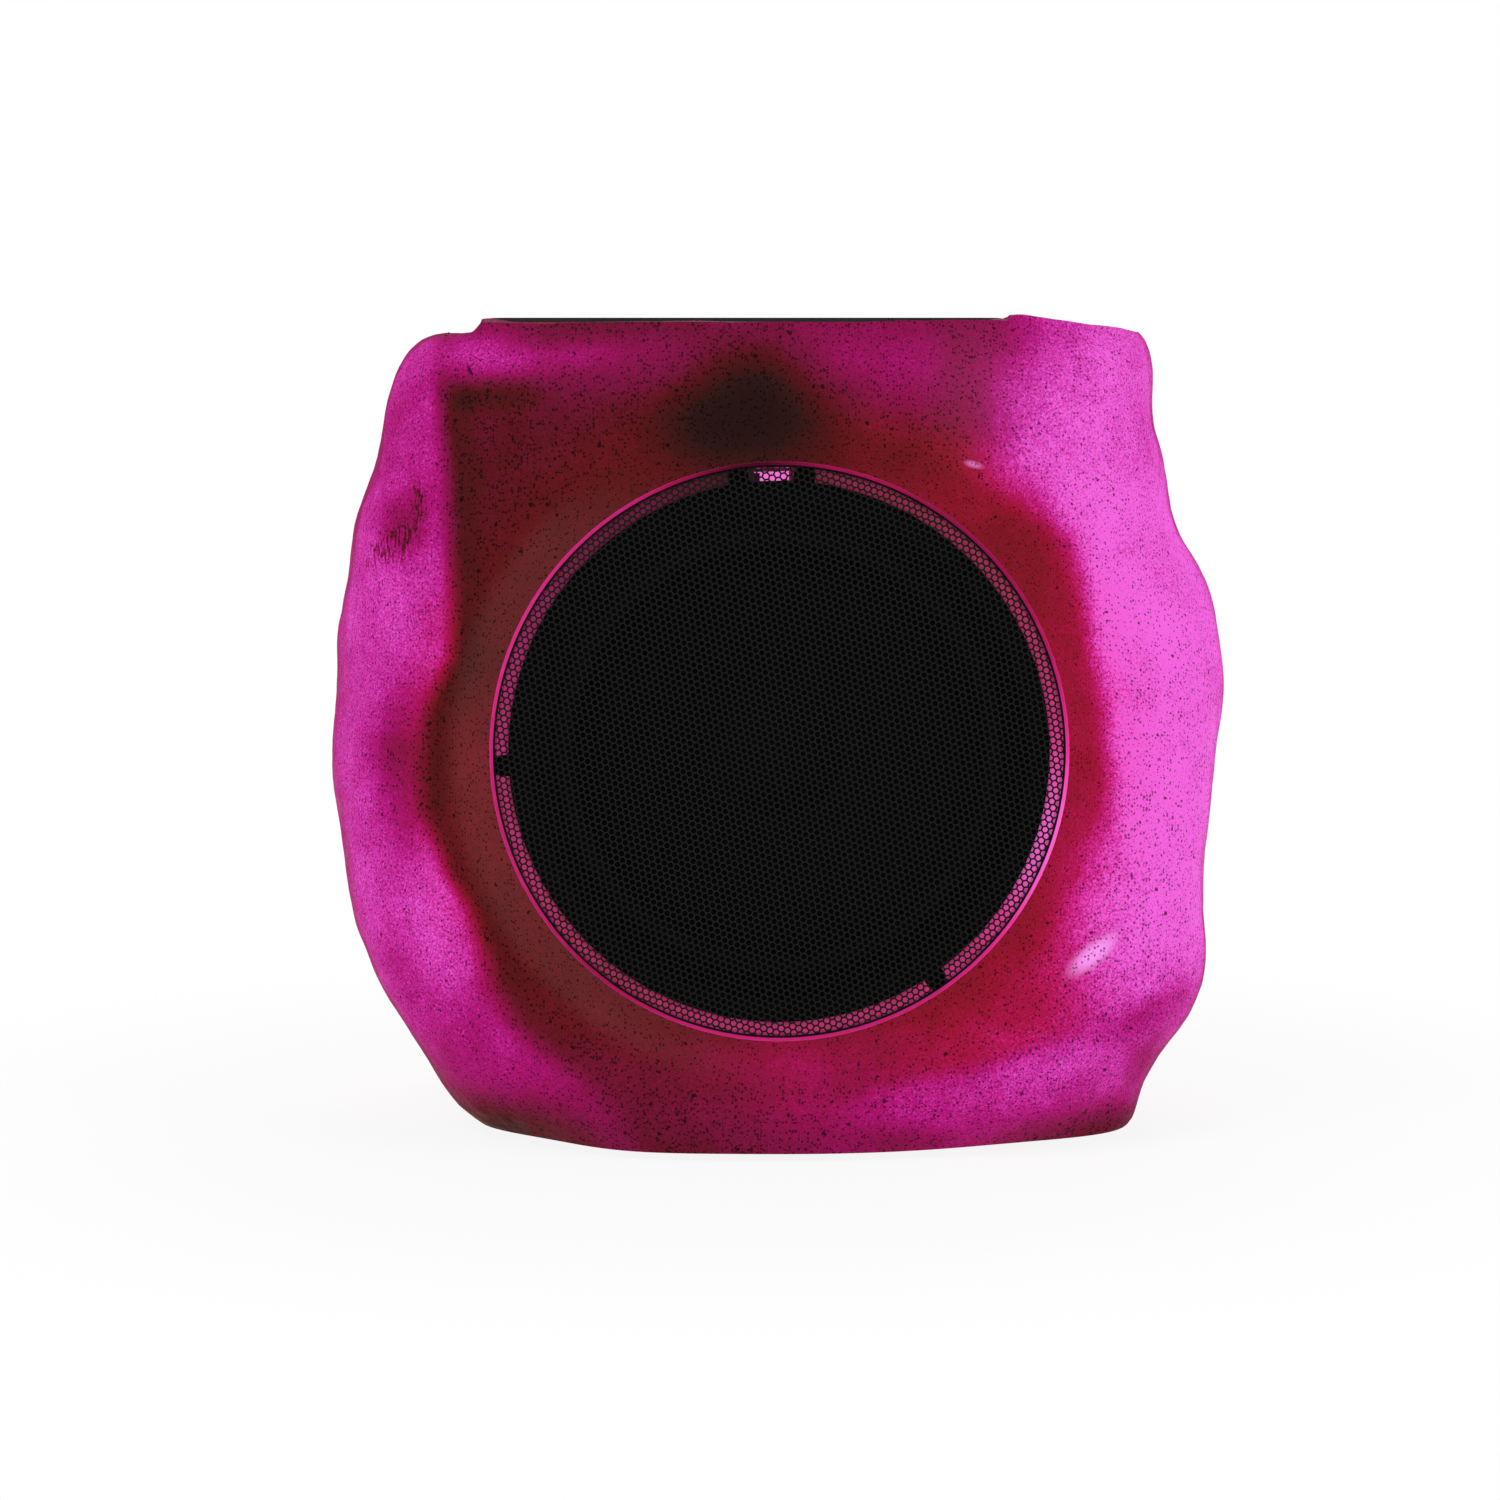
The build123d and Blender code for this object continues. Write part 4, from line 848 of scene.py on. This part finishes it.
def paint_skin(mesh, facing, swells, recess_verts):
    """Writes how much light comes through, how warm it is and how many grains there are."""
    places = in_front([vert.co for vert in mesh.vertices]) / mm
    across, along, out = places.T
    turn = np.degrees(np.arctan2(along, across))

    def swing(at, width):
        away = (turn - at + 180) % 360 - 180
        return np.exp(-((away / width) ** 2))

    behind = step_up(-out, 35, 95)
    # Painted shade: the light is dimmer where the skin turns away from the front, and at the back dimmer on swells
    # and brighter in hollows
    edge_share = 0.5 + 0.5 * step_up(facing, 0.02, 0.34)
    edge_share += (0.86 - 0.13 * swells - edge_share) * behind
    light = light_through(places) * edge_share
    warmth = warm_share(places)

    # In the recess they say how much light leaks out, and how far its floor glows, by angle
    leak = 0.52 + 0.5 * swing(-18, 21) - 0.22 * swing(50, 26) - 0.48 * swing(96, 14)
    leak = leak + 0.12 * swing(158, 22) - 0.13 * swing(-128, 16)
    floor_glow = 0.82 + 0.18 * swing(42, 20) - 0.58 * swing(125, 46)
    light[recess_verts] = leak[recess_verts]
    warmth[recess_verts] = floor_glow[recess_verts]

    ring_share = 1 - step_up(np.hypot(across, along), 96, 106)
    lower_right = step_up(across - along, 60, 150)
    shaded = 1 - step_up(light, 0.3, 0.6)
    grains = (0.97 + 0.15 * lower_right + 0.3 * shaded) * (1 - 0.2 * ring_share * (1 - behind))
    for name, values in (("light", light), ("warmth", warmth), ("grains", grains)):
        layer = mesh.attributes.new(name, "FLOAT", "POINT")
        layer.data.foreach_set("value", values.astype(np.float32))


def rock_skin():
    """The shell with its skin divided finely, given the stone's small lumps and pits."""
    bm = merged_copy("rock_shell")
    bmesh.ops.triangulate(bm, faces=bm.faces)
    bm.normal_update()
    skin = mark_skin(bm)
    divide_skin(bm, skin)
    swell = lump_skin(bm, skin)
    raise_shoulders(bm)
    shade_smooth(bm, skin_sharp)
    borders = [edge for edge in bm.edges if len({face.material_index for face in edge.link_faces}) > 1]
    bmesh.ops.split_edges(bm, edges=borders)
    bm.verts.index_update()
    recess_faces = [face for face in bm.faces if face.material_index == 1]
    recess_verts = sorted({vert.index for face in recess_faces for vert in face.verts})
    bm.normal_update()
    facing = np.array([vert.normal.dot(grille_out) for vert in bm.verts])
    swells = np.array([vert[swell] for vert in bm.verts])
    mesh = finished_mesh("rock_skin", bm, finishes["rock"], recess_finish, inside_finish)
    paint_skin(mesh, facing, swells, recess_verts)
    return new_piece("rock_skin", mesh, "housing", ["rock_shell"])


rock_skin()


# Geometry node trees


def new_tree(name, *inputs):
    """Empty geometry tree with its named inputs and one output."""
    tree = bpy.data.node_groups.new(name, "GeometryNodeTree")
    for label, kind in inputs:
        tree.interface.new_socket(label, in_out="INPUT", socket_type="NodeSocket" + kind)
    tree.interface.new_socket("Geometry", in_out="OUTPUT", socket_type="NodeSocketGeometry")
    return tree, tree.nodes.new("NodeGroupInput").outputs, tree.nodes.new("NodeGroupOutput").inputs


def grow(tree, mesh, **values):
    """The tree's result on a mesh, as a plain mesh."""
    holder = place_object("holder", mesh)
    modifier = holder.modifiers.new("grow", "NODES")
    modifier.node_group = tree
    for item in tree.interface.items_tree:
        label = item.name.lower().replace(" ", "_")
        if item.in_out == "INPUT" and label in values:
            modifier[item.identifier] = values[label]
    graph = bpy.context.evaluated_depsgraph_get()
    made = bpy.data.meshes.new_from_object(holder.evaluated_get(graph))
    holder.modifiers.remove(modifier)
    bpy.data.objects.remove(holder)
    return made


def perforated_tree():
    """Round sheet of holes on a staggered lattice, one cell laid at each hole."""
    tree, given, out = new_tree(
        "perforated_sheet",
        ("Geometry", "Geometry"), ("Pitch", "Float"), ("Radius", "Float"), ("Turn", "Float"),
        ("Columns", "Int"), ("Rows", "Int"), ("Cell", "Object"), ("Material", "Material"),
    )
    row = product(given["Pitch"], math.sqrt(3) / 2)
    grid = first(
        "GeometryNodeMeshGrid",
        Size_X=product(calc("SUBTRACT", given["Columns"], 1.0), given["Pitch"]),
        Size_Y=product(calc("SUBTRACT", given["Rows"], 1.0), row),
        Vertices_X=given["Columns"],
        Vertices_Y=given["Rows"],
    )
    place = first("GeometryNodeInputPosition", tree=tree)
    split = add_node("SeparateXYZ", Vector=place)
    number = calc("ROUND", calc("DIVIDE", split.outputs["Y"], row))
    odd = calc("FLOORED_MODULO", number, 2.0)
    shift = product(odd, given["Pitch"], 0.5)
    offset = first("CombineXYZ", X=shift)
    staggered = first("GeometryNodeSetPosition", Geometry=grid, Offset=offset)
    outside = calc("GREATER_THAN", vector_length(place), given["Radius"])
    kept = first("GeometryNodeDeleteGeometry", {"domain": "POINT"}, Geometry=staggered, Selection=outside)
    points = first("GeometryNodeMeshToPoints", Mesh=kept)
    cell = add_node("GeometryNodeObjectInfo", Object=given["Cell"]).outputs["Geometry"]
    laid = first("GeometryNodeInstanceOnPoints", Points=points, Instance=cell)
    real = first("GeometryNodeRealizeInstances", Geometry=laid)
    joined = first("GeometryNodeMergeByDistance", Geometry=real, Distance=0.002 * mm)
    turn = first("CombineXYZ", Z=given["Turn"])
    turned = first("GeometryNodeTransform", Geometry=joined, Rotation=turn)
    painted = first("GeometryNodeSetMaterial", Geometry=turned, Material=given["Material"])
    tree.links.new(painted, out["Geometry"])
    return tree


def hole_cell():
    """One hexagonal hole with its walls, and half of the webs to its neighbours on both faces."""
    bm = bmesh.new()
    corner = hole_width / math.sqrt(3)

    def point(neighbour, angle, height):
        place = around(angle, corner, height)
        if neighbour is not None:
            place += around(neighbour, hole_pitch)
        return bm.verts.new(place)

    heights = (0.0, -sheet_thickness)
    own = [[point(None, 30 + 60 * index, height) for index in range(6)] for height in heights]
    for index in range(6):
        after = (index + 1) % 6
        bm.faces.new((own[0][after], own[0][index], own[1][index], own[1][after]))
    for level, height in enumerate(heights):
        east = [point(0, angle, height) for angle in (150, 210)]
        north = [point(60, angle, height) for angle in (210, 270)]
        west = [point(120, angle, height) for angle in (270, 330)]
        mine = own[level]
        webs = [
            (mine[5], east[1], east[0], mine[0]),
            (mine[0], north[1], north[0], mine[1]),
            (mine[1], west[1], west[0], mine[2]),
            (mine[0], east[0], north[1]),
            (mine[1], north[0], west[1]),
        ]
        for web in webs:
            bm.faces.new(web if level == 0 else tuple(reversed(web)))
    return place_object("hole_cell", finished_mesh("hole_cell", bm))


def grille_rim():
    """Rolled edge and skirt of the grille cup, turned about its axis."""
    inner = grille_radius - rim_width
    wall = grille_radius - skirt_thickness
    profile = [(inner, rim_proud)]
    for step in range(6):
        curve = around(90 - 18 * step, rim_round)
        profile.append((grille_radius - rim_round + curve.x, rim_proud - rim_round + curve.y))
    floor = -grille_depth
    profile += [(grille_radius, floor), (wall, floor), (wall, -sheet_thickness - rim_round)]
    profile += [(wall - rim_round, -sheet_thickness - rim_proud), (inner, -sheet_thickness - rim_proud)]
    bm = bmesh.new()
    loops = []
    for index in range(rim_steps):
        angle = 360 * index / rim_steps
        loops.append([bm.verts.new(around(angle, reach, height)) for reach, height in profile])
    for index in range(rim_steps):
        near, far = loops[index], loops[(index + 1) % rim_steps]
        for a in range(len(profile)):
            b = (a + 1) % len(profile)
            made = bm.faces.new((near[a], near[b], far[b], far[a]))
            made.material_index = int(profile[a][0] == wall and profile[b][0] == wall)
    bmesh.ops.recalc_face_normals(bm, faces=bm.faces)
    shade_smooth(bm, rim_sharp)
    return bm


def perforated_grille():
    """Sheet of fine holes, trimmed to the rim and joined with it."""
    cell = hole_cell()
    reach = grille_radius - rim_width + hole_pitch / math.sqrt(3)
    sheet = grow(
        perforated_tree(),
        bpy.data.meshes.new("sheet"),
        pitch=hole_pitch,
        radius=reach,
        turn=sheet_turn,
        columns=2 * math.ceil(reach / hole_pitch) + 3,
        rows=2 * math.ceil(reach / hole_pitch / math.sqrt(3) * 2) + 3,
        cell=cell,
        material=finishes["grille_steel"],
    )
    bpy.data.objects.remove(cell)
    bm = bmesh.new()
    bm.from_mesh(sheet)
    trim = grille_radius - rim_width / 2
    for vert in bm.verts:
        away = math.hypot(vert.co.x, vert.co.y)
        if away > trim:
            vert.co.x *= trim / away
            vert.co.y *= trim / away
    bmesh.ops.remove_doubles(bm, verts=bm.verts, dist=0.01 * mm)
    bmesh.ops.dissolve_degenerate(bm, edges=bm.edges, dist=0.005 * mm)
    for face in bm.faces:
        face.material_index = 0
    sheet.clear_geometry()
    bm.to_mesh(sheet)
    bm.free()
    bm = grille_rim()
    bm.from_mesh(sheet)
    bm.transform(front)
    mesh = finished_mesh("perforated_grille", bm, finishes["grille_steel"], skirt_finish)
    return new_piece("perforated_grille", mesh, "housing", ["grille"])


perforated_grille()


# Screws that can be seen


def screw_tree():
    """Screws laid at points, all with one axis."""
    tree, given, out = new_tree(
        "screw_set",
        ("Geometry", "Geometry"), ("Screw", "Object"), ("Turn step", "Float"), ("Material", "Material"),
    )
    points = first("GeometryNodeMeshToPoints", Mesh=given["Geometry"])
    number = first("GeometryNodeInputIndex", tree=tree)
    turn = first("CombineXYZ", Z=product(number, given["Turn step"]))
    unit = add_node("GeometryNodeObjectInfo", Object=given["Screw"]).outputs["Geometry"]
    laid = first("GeometryNodeInstanceOnPoints", Points=points, Instance=unit, Rotation=turn)
    real = first("GeometryNodeRealizeInstances", Geometry=laid)
    painted = first("GeometryNodeSetMaterial", Geometry=real, Material=given["Material"])
    tree.links.new(painted, out["Geometry"])
    return tree


def screw_unit(length):
    """Pan head screw with a cross recess; its head's crown is at the origin and it points down."""
    steps = 24
    head, crown, height, shank = 2.6 * mm, 1.65 * mm, 1.6 * mm, 1.35 * mm
    arm, half, recess, taper = 1.25 * mm, 0.32 * mm, 0.9 * mm, 0.75
    profile = [(crown, 0.0), (2.15 * mm, -0.25 * mm), (2.48 * mm, -0.75 * mm), (head, -1.15 * mm)]
    profile += [(head, -height), (shank, -height), (shank, -length + shank / 2), (shank / 2, -length)]
    bm = bmesh.new()
    loops = []
    for radius, level in profile:
        loops.append([bm.verts.new(around(360 * index / steps, radius, level)) for index in range(steps)])
    for upper, lower in zip(loops, loops[1:]):
        for index in range(steps):
            after = (index + 1) % steps
            bm.faces.new((upper[index], lower[index], lower[after], upper[after]))
    bm.faces.new(list(reversed(loops[-1])))
    outline = []
    for turn in range(4):
        cosine, sine = round(math.cos(turn * math.pi / 2)), round(math.sin(turn * math.pi / 2))
        for x, y in ((half, -half), (arm, -half), (arm, half)):
            outline.append((x * cosine - y * sine, x * sine + y * cosine))
    upper = [bm.verts.new((x, y, 0)) for x, y in outline]
    lower = [bm.verts.new((taper * x, taper * y, -recess)) for x, y in outline]
    edges = [edge for edge in bm.edges if all(vert in loops[0] for vert in edge.verts)]
    for index in range(len(upper)):
        after = (index + 1) % len(upper)
        edges.append(bm.edges.new((upper[index], upper[after])))
        bm.faces.new((upper[index], upper[after], lower[after], lower[index]))
    bm.faces.new(lower)
    bmesh.ops.triangle_fill(bm, edges=edges, use_beauty=True)
    bmesh.ops.recalc_face_normals(bm, faces=bm.faces)
    shade_smooth(bm, math.radians(35))
    return place_object("screw_unit", finished_mesh("screw_unit", bm))


def dressed_screws(node, axis, turn_step):
    """Screws with recessed heads at the places of a node's screws, their heads towards the axis."""
    aim = Vector(axis).to_track_quat("Z", "Y").to_matrix().to_4x4()
    bm = merged_copy(node)
    bm.transform(aim.inverted())
    left = set(bm.verts)
    places = []
    while left:
        group, reach = [], [left.pop()]
        while reach:
            vert = reach.pop()
            group.append(vert.co)
            for edge in vert.link_edges:
                other = edge.other_vert(vert)
                if other in left:
                    left.discard(other)
                    reach.append(other)
        low = np.min(group, 0)
        high = np.max(group, 0)
        places.append(((low[0] + high[0]) / 2, (low[1] + high[1]) / 2, high[2]))
        length = high[2] - low[2]
    bm.free()

    # In order round their middle, so each head is turned the same way on every run
    middle = np.mean(places, 0)
    places.sort(key=lambda place: math.atan2(place[1] - middle[1], place[0] - middle[0]))
    points = bpy.data.meshes.new("screw_places")
    points.from_pydata(places, [], [])
    unit = screw_unit(length)
    made = grow(screw_tree(), points, screw=unit, turn_step=turn_step, material=finishes[node_slot[node]])
    bpy.data.objects.remove(unit)
    made.transform(aim)
    made.name = node + "_dressed"
    return new_piece(node + "_dressed", made, "housing", [node])


dressed_screws("solar_screws", axis=(0, 0, 1), turn_step=0.7)
dressed_screws("panel_screws", axis=(0, 1, 0), turn_step=1.1)
dressed_screws("base_screws", axis=(0, 0, -1), turn_step=0.5)


# Printed marks above the buttons


def panel_marks():
    """Power, sun, waves, minus and plus signs, laid on the rear panel's face above their buttons."""
    bm = bmesh.new()
    line, lift, rise = 0.45 * mm, 0.06 * mm, 9.0 * mm
    panel = nodes["control_panel"].data
    faces = [tuple(face.vertices) for face in panel.polygons]
    tree = BVHTree.FromPolygons([vert.co for vert in panel.vertices], faces)

    def strip(path, closed=False):
        count = len(path)
        sides = []
        for index, (x, z) in enumerate(path):
            before = path[index - 1] if closed or index else path[index]
            after = path[(index + 1) % count] if closed or index < count - 1 else path[index]
            run = Vector((after[0] - before[0], after[1] - before[1])).normalized()
            off = Vector((-run.y, run.x)) * line / 2
            sides.append([bm.verts.new((x + side * off.x, lift, z + side * off.y)) for side in (1, -1)])
        for index in range(count if closed else count - 1):
            a, b = sides[index], sides[(index + 1) % count]
            bm.faces.new((a[0], a[1], b[1], b[0]))

    def arc(radius, start, end, steps=20):
        return [around(start + (end - start) * step / steps, radius).to_2d() for step in range(steps + 1)]

    def power():
        strip(arc(1.6 * mm, 125, 415))
        strip([(0, 0.5 * mm), (0, 2.0 * mm)])

    def sun():
        strip(arc(0.8 * mm, 0, 351, 19), closed=True)
        for index in range(8):
            strip([around(45 * index, reach).to_2d() for reach in (1.35 * mm, 1.95 * mm)])

    def waves():
        for radius in (0.7 * mm, 1.4 * mm, 2.1 * mm):
            strip([(x, z - 1.0 * mm) for x, z in arc(radius, 45, 135)])

    def minus():
        strip([(-1.5 * mm, 0), (1.5 * mm, 0)])

    def plus():
        minus()
        strip([(0, -1.5 * mm), (0, 1.5 * mm)])

    signs = {
        "power_button": power, "light_button": sun, "link_button": waves,
        "volume_down_button": minus, "volume_up_button": plus,
    }
    done = set()
    for name, draw in signs.items():
        low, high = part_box(name)
        draw()
        x = (low.x + high.x) / 2
        z = (low.z + high.z) / 2 + rise
        face = tree.ray_cast(Vector((x, cad_high.y + 10 * mm, z)), Vector((0, -1, 0)))[0]
        for vert in set(bm.verts) - done:
            vert.co = Vector((x - vert.co.x, vert.co.y + face.y, z + vert.co.z))
        done = set(bm.verts)
    bmesh.ops.recalc_face_normals(bm, faces=bm.faces)
    for flat in bm.faces:
        if flat.normal.y < 0:
            flat.normal_flip()
    return new_piece("panel_marks", finished_mesh("panel_marks", bm, print_finish), "housing")


panel_marks()


# Driver parts that flex with the cone


def flexing(node, inner, outer):
    """Ring that follows the frame at its outer edge and the cone at its inner edge."""
    bm = merged_copy(node)
    for face in bm.faces:
        face.smooth = True
    mesh = finished_mesh(node + "_ring", bm, finishes[node_slot[node]])
    piece = new_piece(node + "_ring", mesh, None, [node])
    rim = front @ Vector((outer, 0, 0))
    neck = front @ Vector((inner, 0, 0))
    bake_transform(piece, "housing", "cone_assembly", start=rim, end=neck)
    places = in_front([vert.co for vert in mesh.vertices])
    reach = np.hypot(places[:, 0], places[:, 1])
    share = 1 - step_up(reach, inner, outer)
    mesh.attributes["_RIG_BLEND"].data.foreach_set("value", share.astype(np.float32))
    return piece


flexing("surround", inner=60 * mm, outer=69.5 * mm)
flexing("spider", inner=15 * mm, outer=46 * mm)


# Floor, light and camera


def seen_by(tree, *rays):
    """One for the rays of the named kinds, else nought."""
    path = add_node("LightPath", tree=tree)
    return calc("MAXIMUM", *[path.outputs[ray] for ray in rays])


def pale_floor():
    """White floor that keeps a soft shadow."""
    bm = bmesh.new()
    bmesh.ops.create_circle(bm, cap_ends=True, radius=6.0, segments=64)
    floor = place_object("floor", finished_mesh("floor", bm))
    material, place = new_finish("pale_floor", 0.9, specular=0.1)
    dress(material, Base_Color=(0.86, 0.86, 0.86, 1))
    far = ramp(vector_length(place), 0.12, 0.4, 0.89, 1.0)
    tree = material.node_tree
    white = first("Emission", tree=tree, Strength=1.0)
    lit = tree.nodes["Principled BSDF"].outputs[0]
    share = product(far, seen_by(tree, "Is Camera Ray", "Is Glossy Ray"))
    both = plug_all(add_node("MixShader", tree=tree), share, lit, white)
    plug(tree.nodes["Material Output"], "Surface", both.outputs[0])
    floor.data.materials.append(material)


def studio():
    """White surroundings and soft lamps."""
    world = bpy.data.worlds.new("studio")
    world.use_nodes = True
    tree = world.node_tree
    back = tree.nodes["Background"]
    seen = seen_by(tree, "Is Camera Ray", "Is Transmission Ray")
    plug(back, "Color", (1, 1, 1, 1))
    plug(back, "Strength", calc("MULTIPLY_ADD", seen, 0.65, 0.35))
    bpy.context.scene.world = world
    for name, place, size, power in (
        ("key", (-1.1, -1.5, 1.7), 1.2, 26),
        ("fill", (1.6, -1.1, 1.0), 1.2, 12),
        ("back", (0.4, 1.7, 1.6), 1.4, 20),
    ):
        lamp = bpy.data.lights.new(name, "AREA")
        lamp.size = size
        lamp.energy = power
        holder = place_object(name, lamp)
        holder.location = place
        aim = Vector((0, 0, cad_high.z / 2)) - holder.location
        holder.rotation_euler = aim.to_track_quat("-Z", "Y").to_euler()


def photo_camera():
    lens = bpy.data.cameras.new("camera")
    lens.sensor_width = sensor
    lens.lens = sensor * camera_reach / frame_width
    camera = place_object("camera", lens)
    camera.matrix_world = front @ Matrix.Translation((*camera_shift, camera_reach))
    bpy.context.scene.camera = camera


pale_floor()
studio()
photo_camera()
bpy.context.scene.view_settings.view_transform = "Standard"
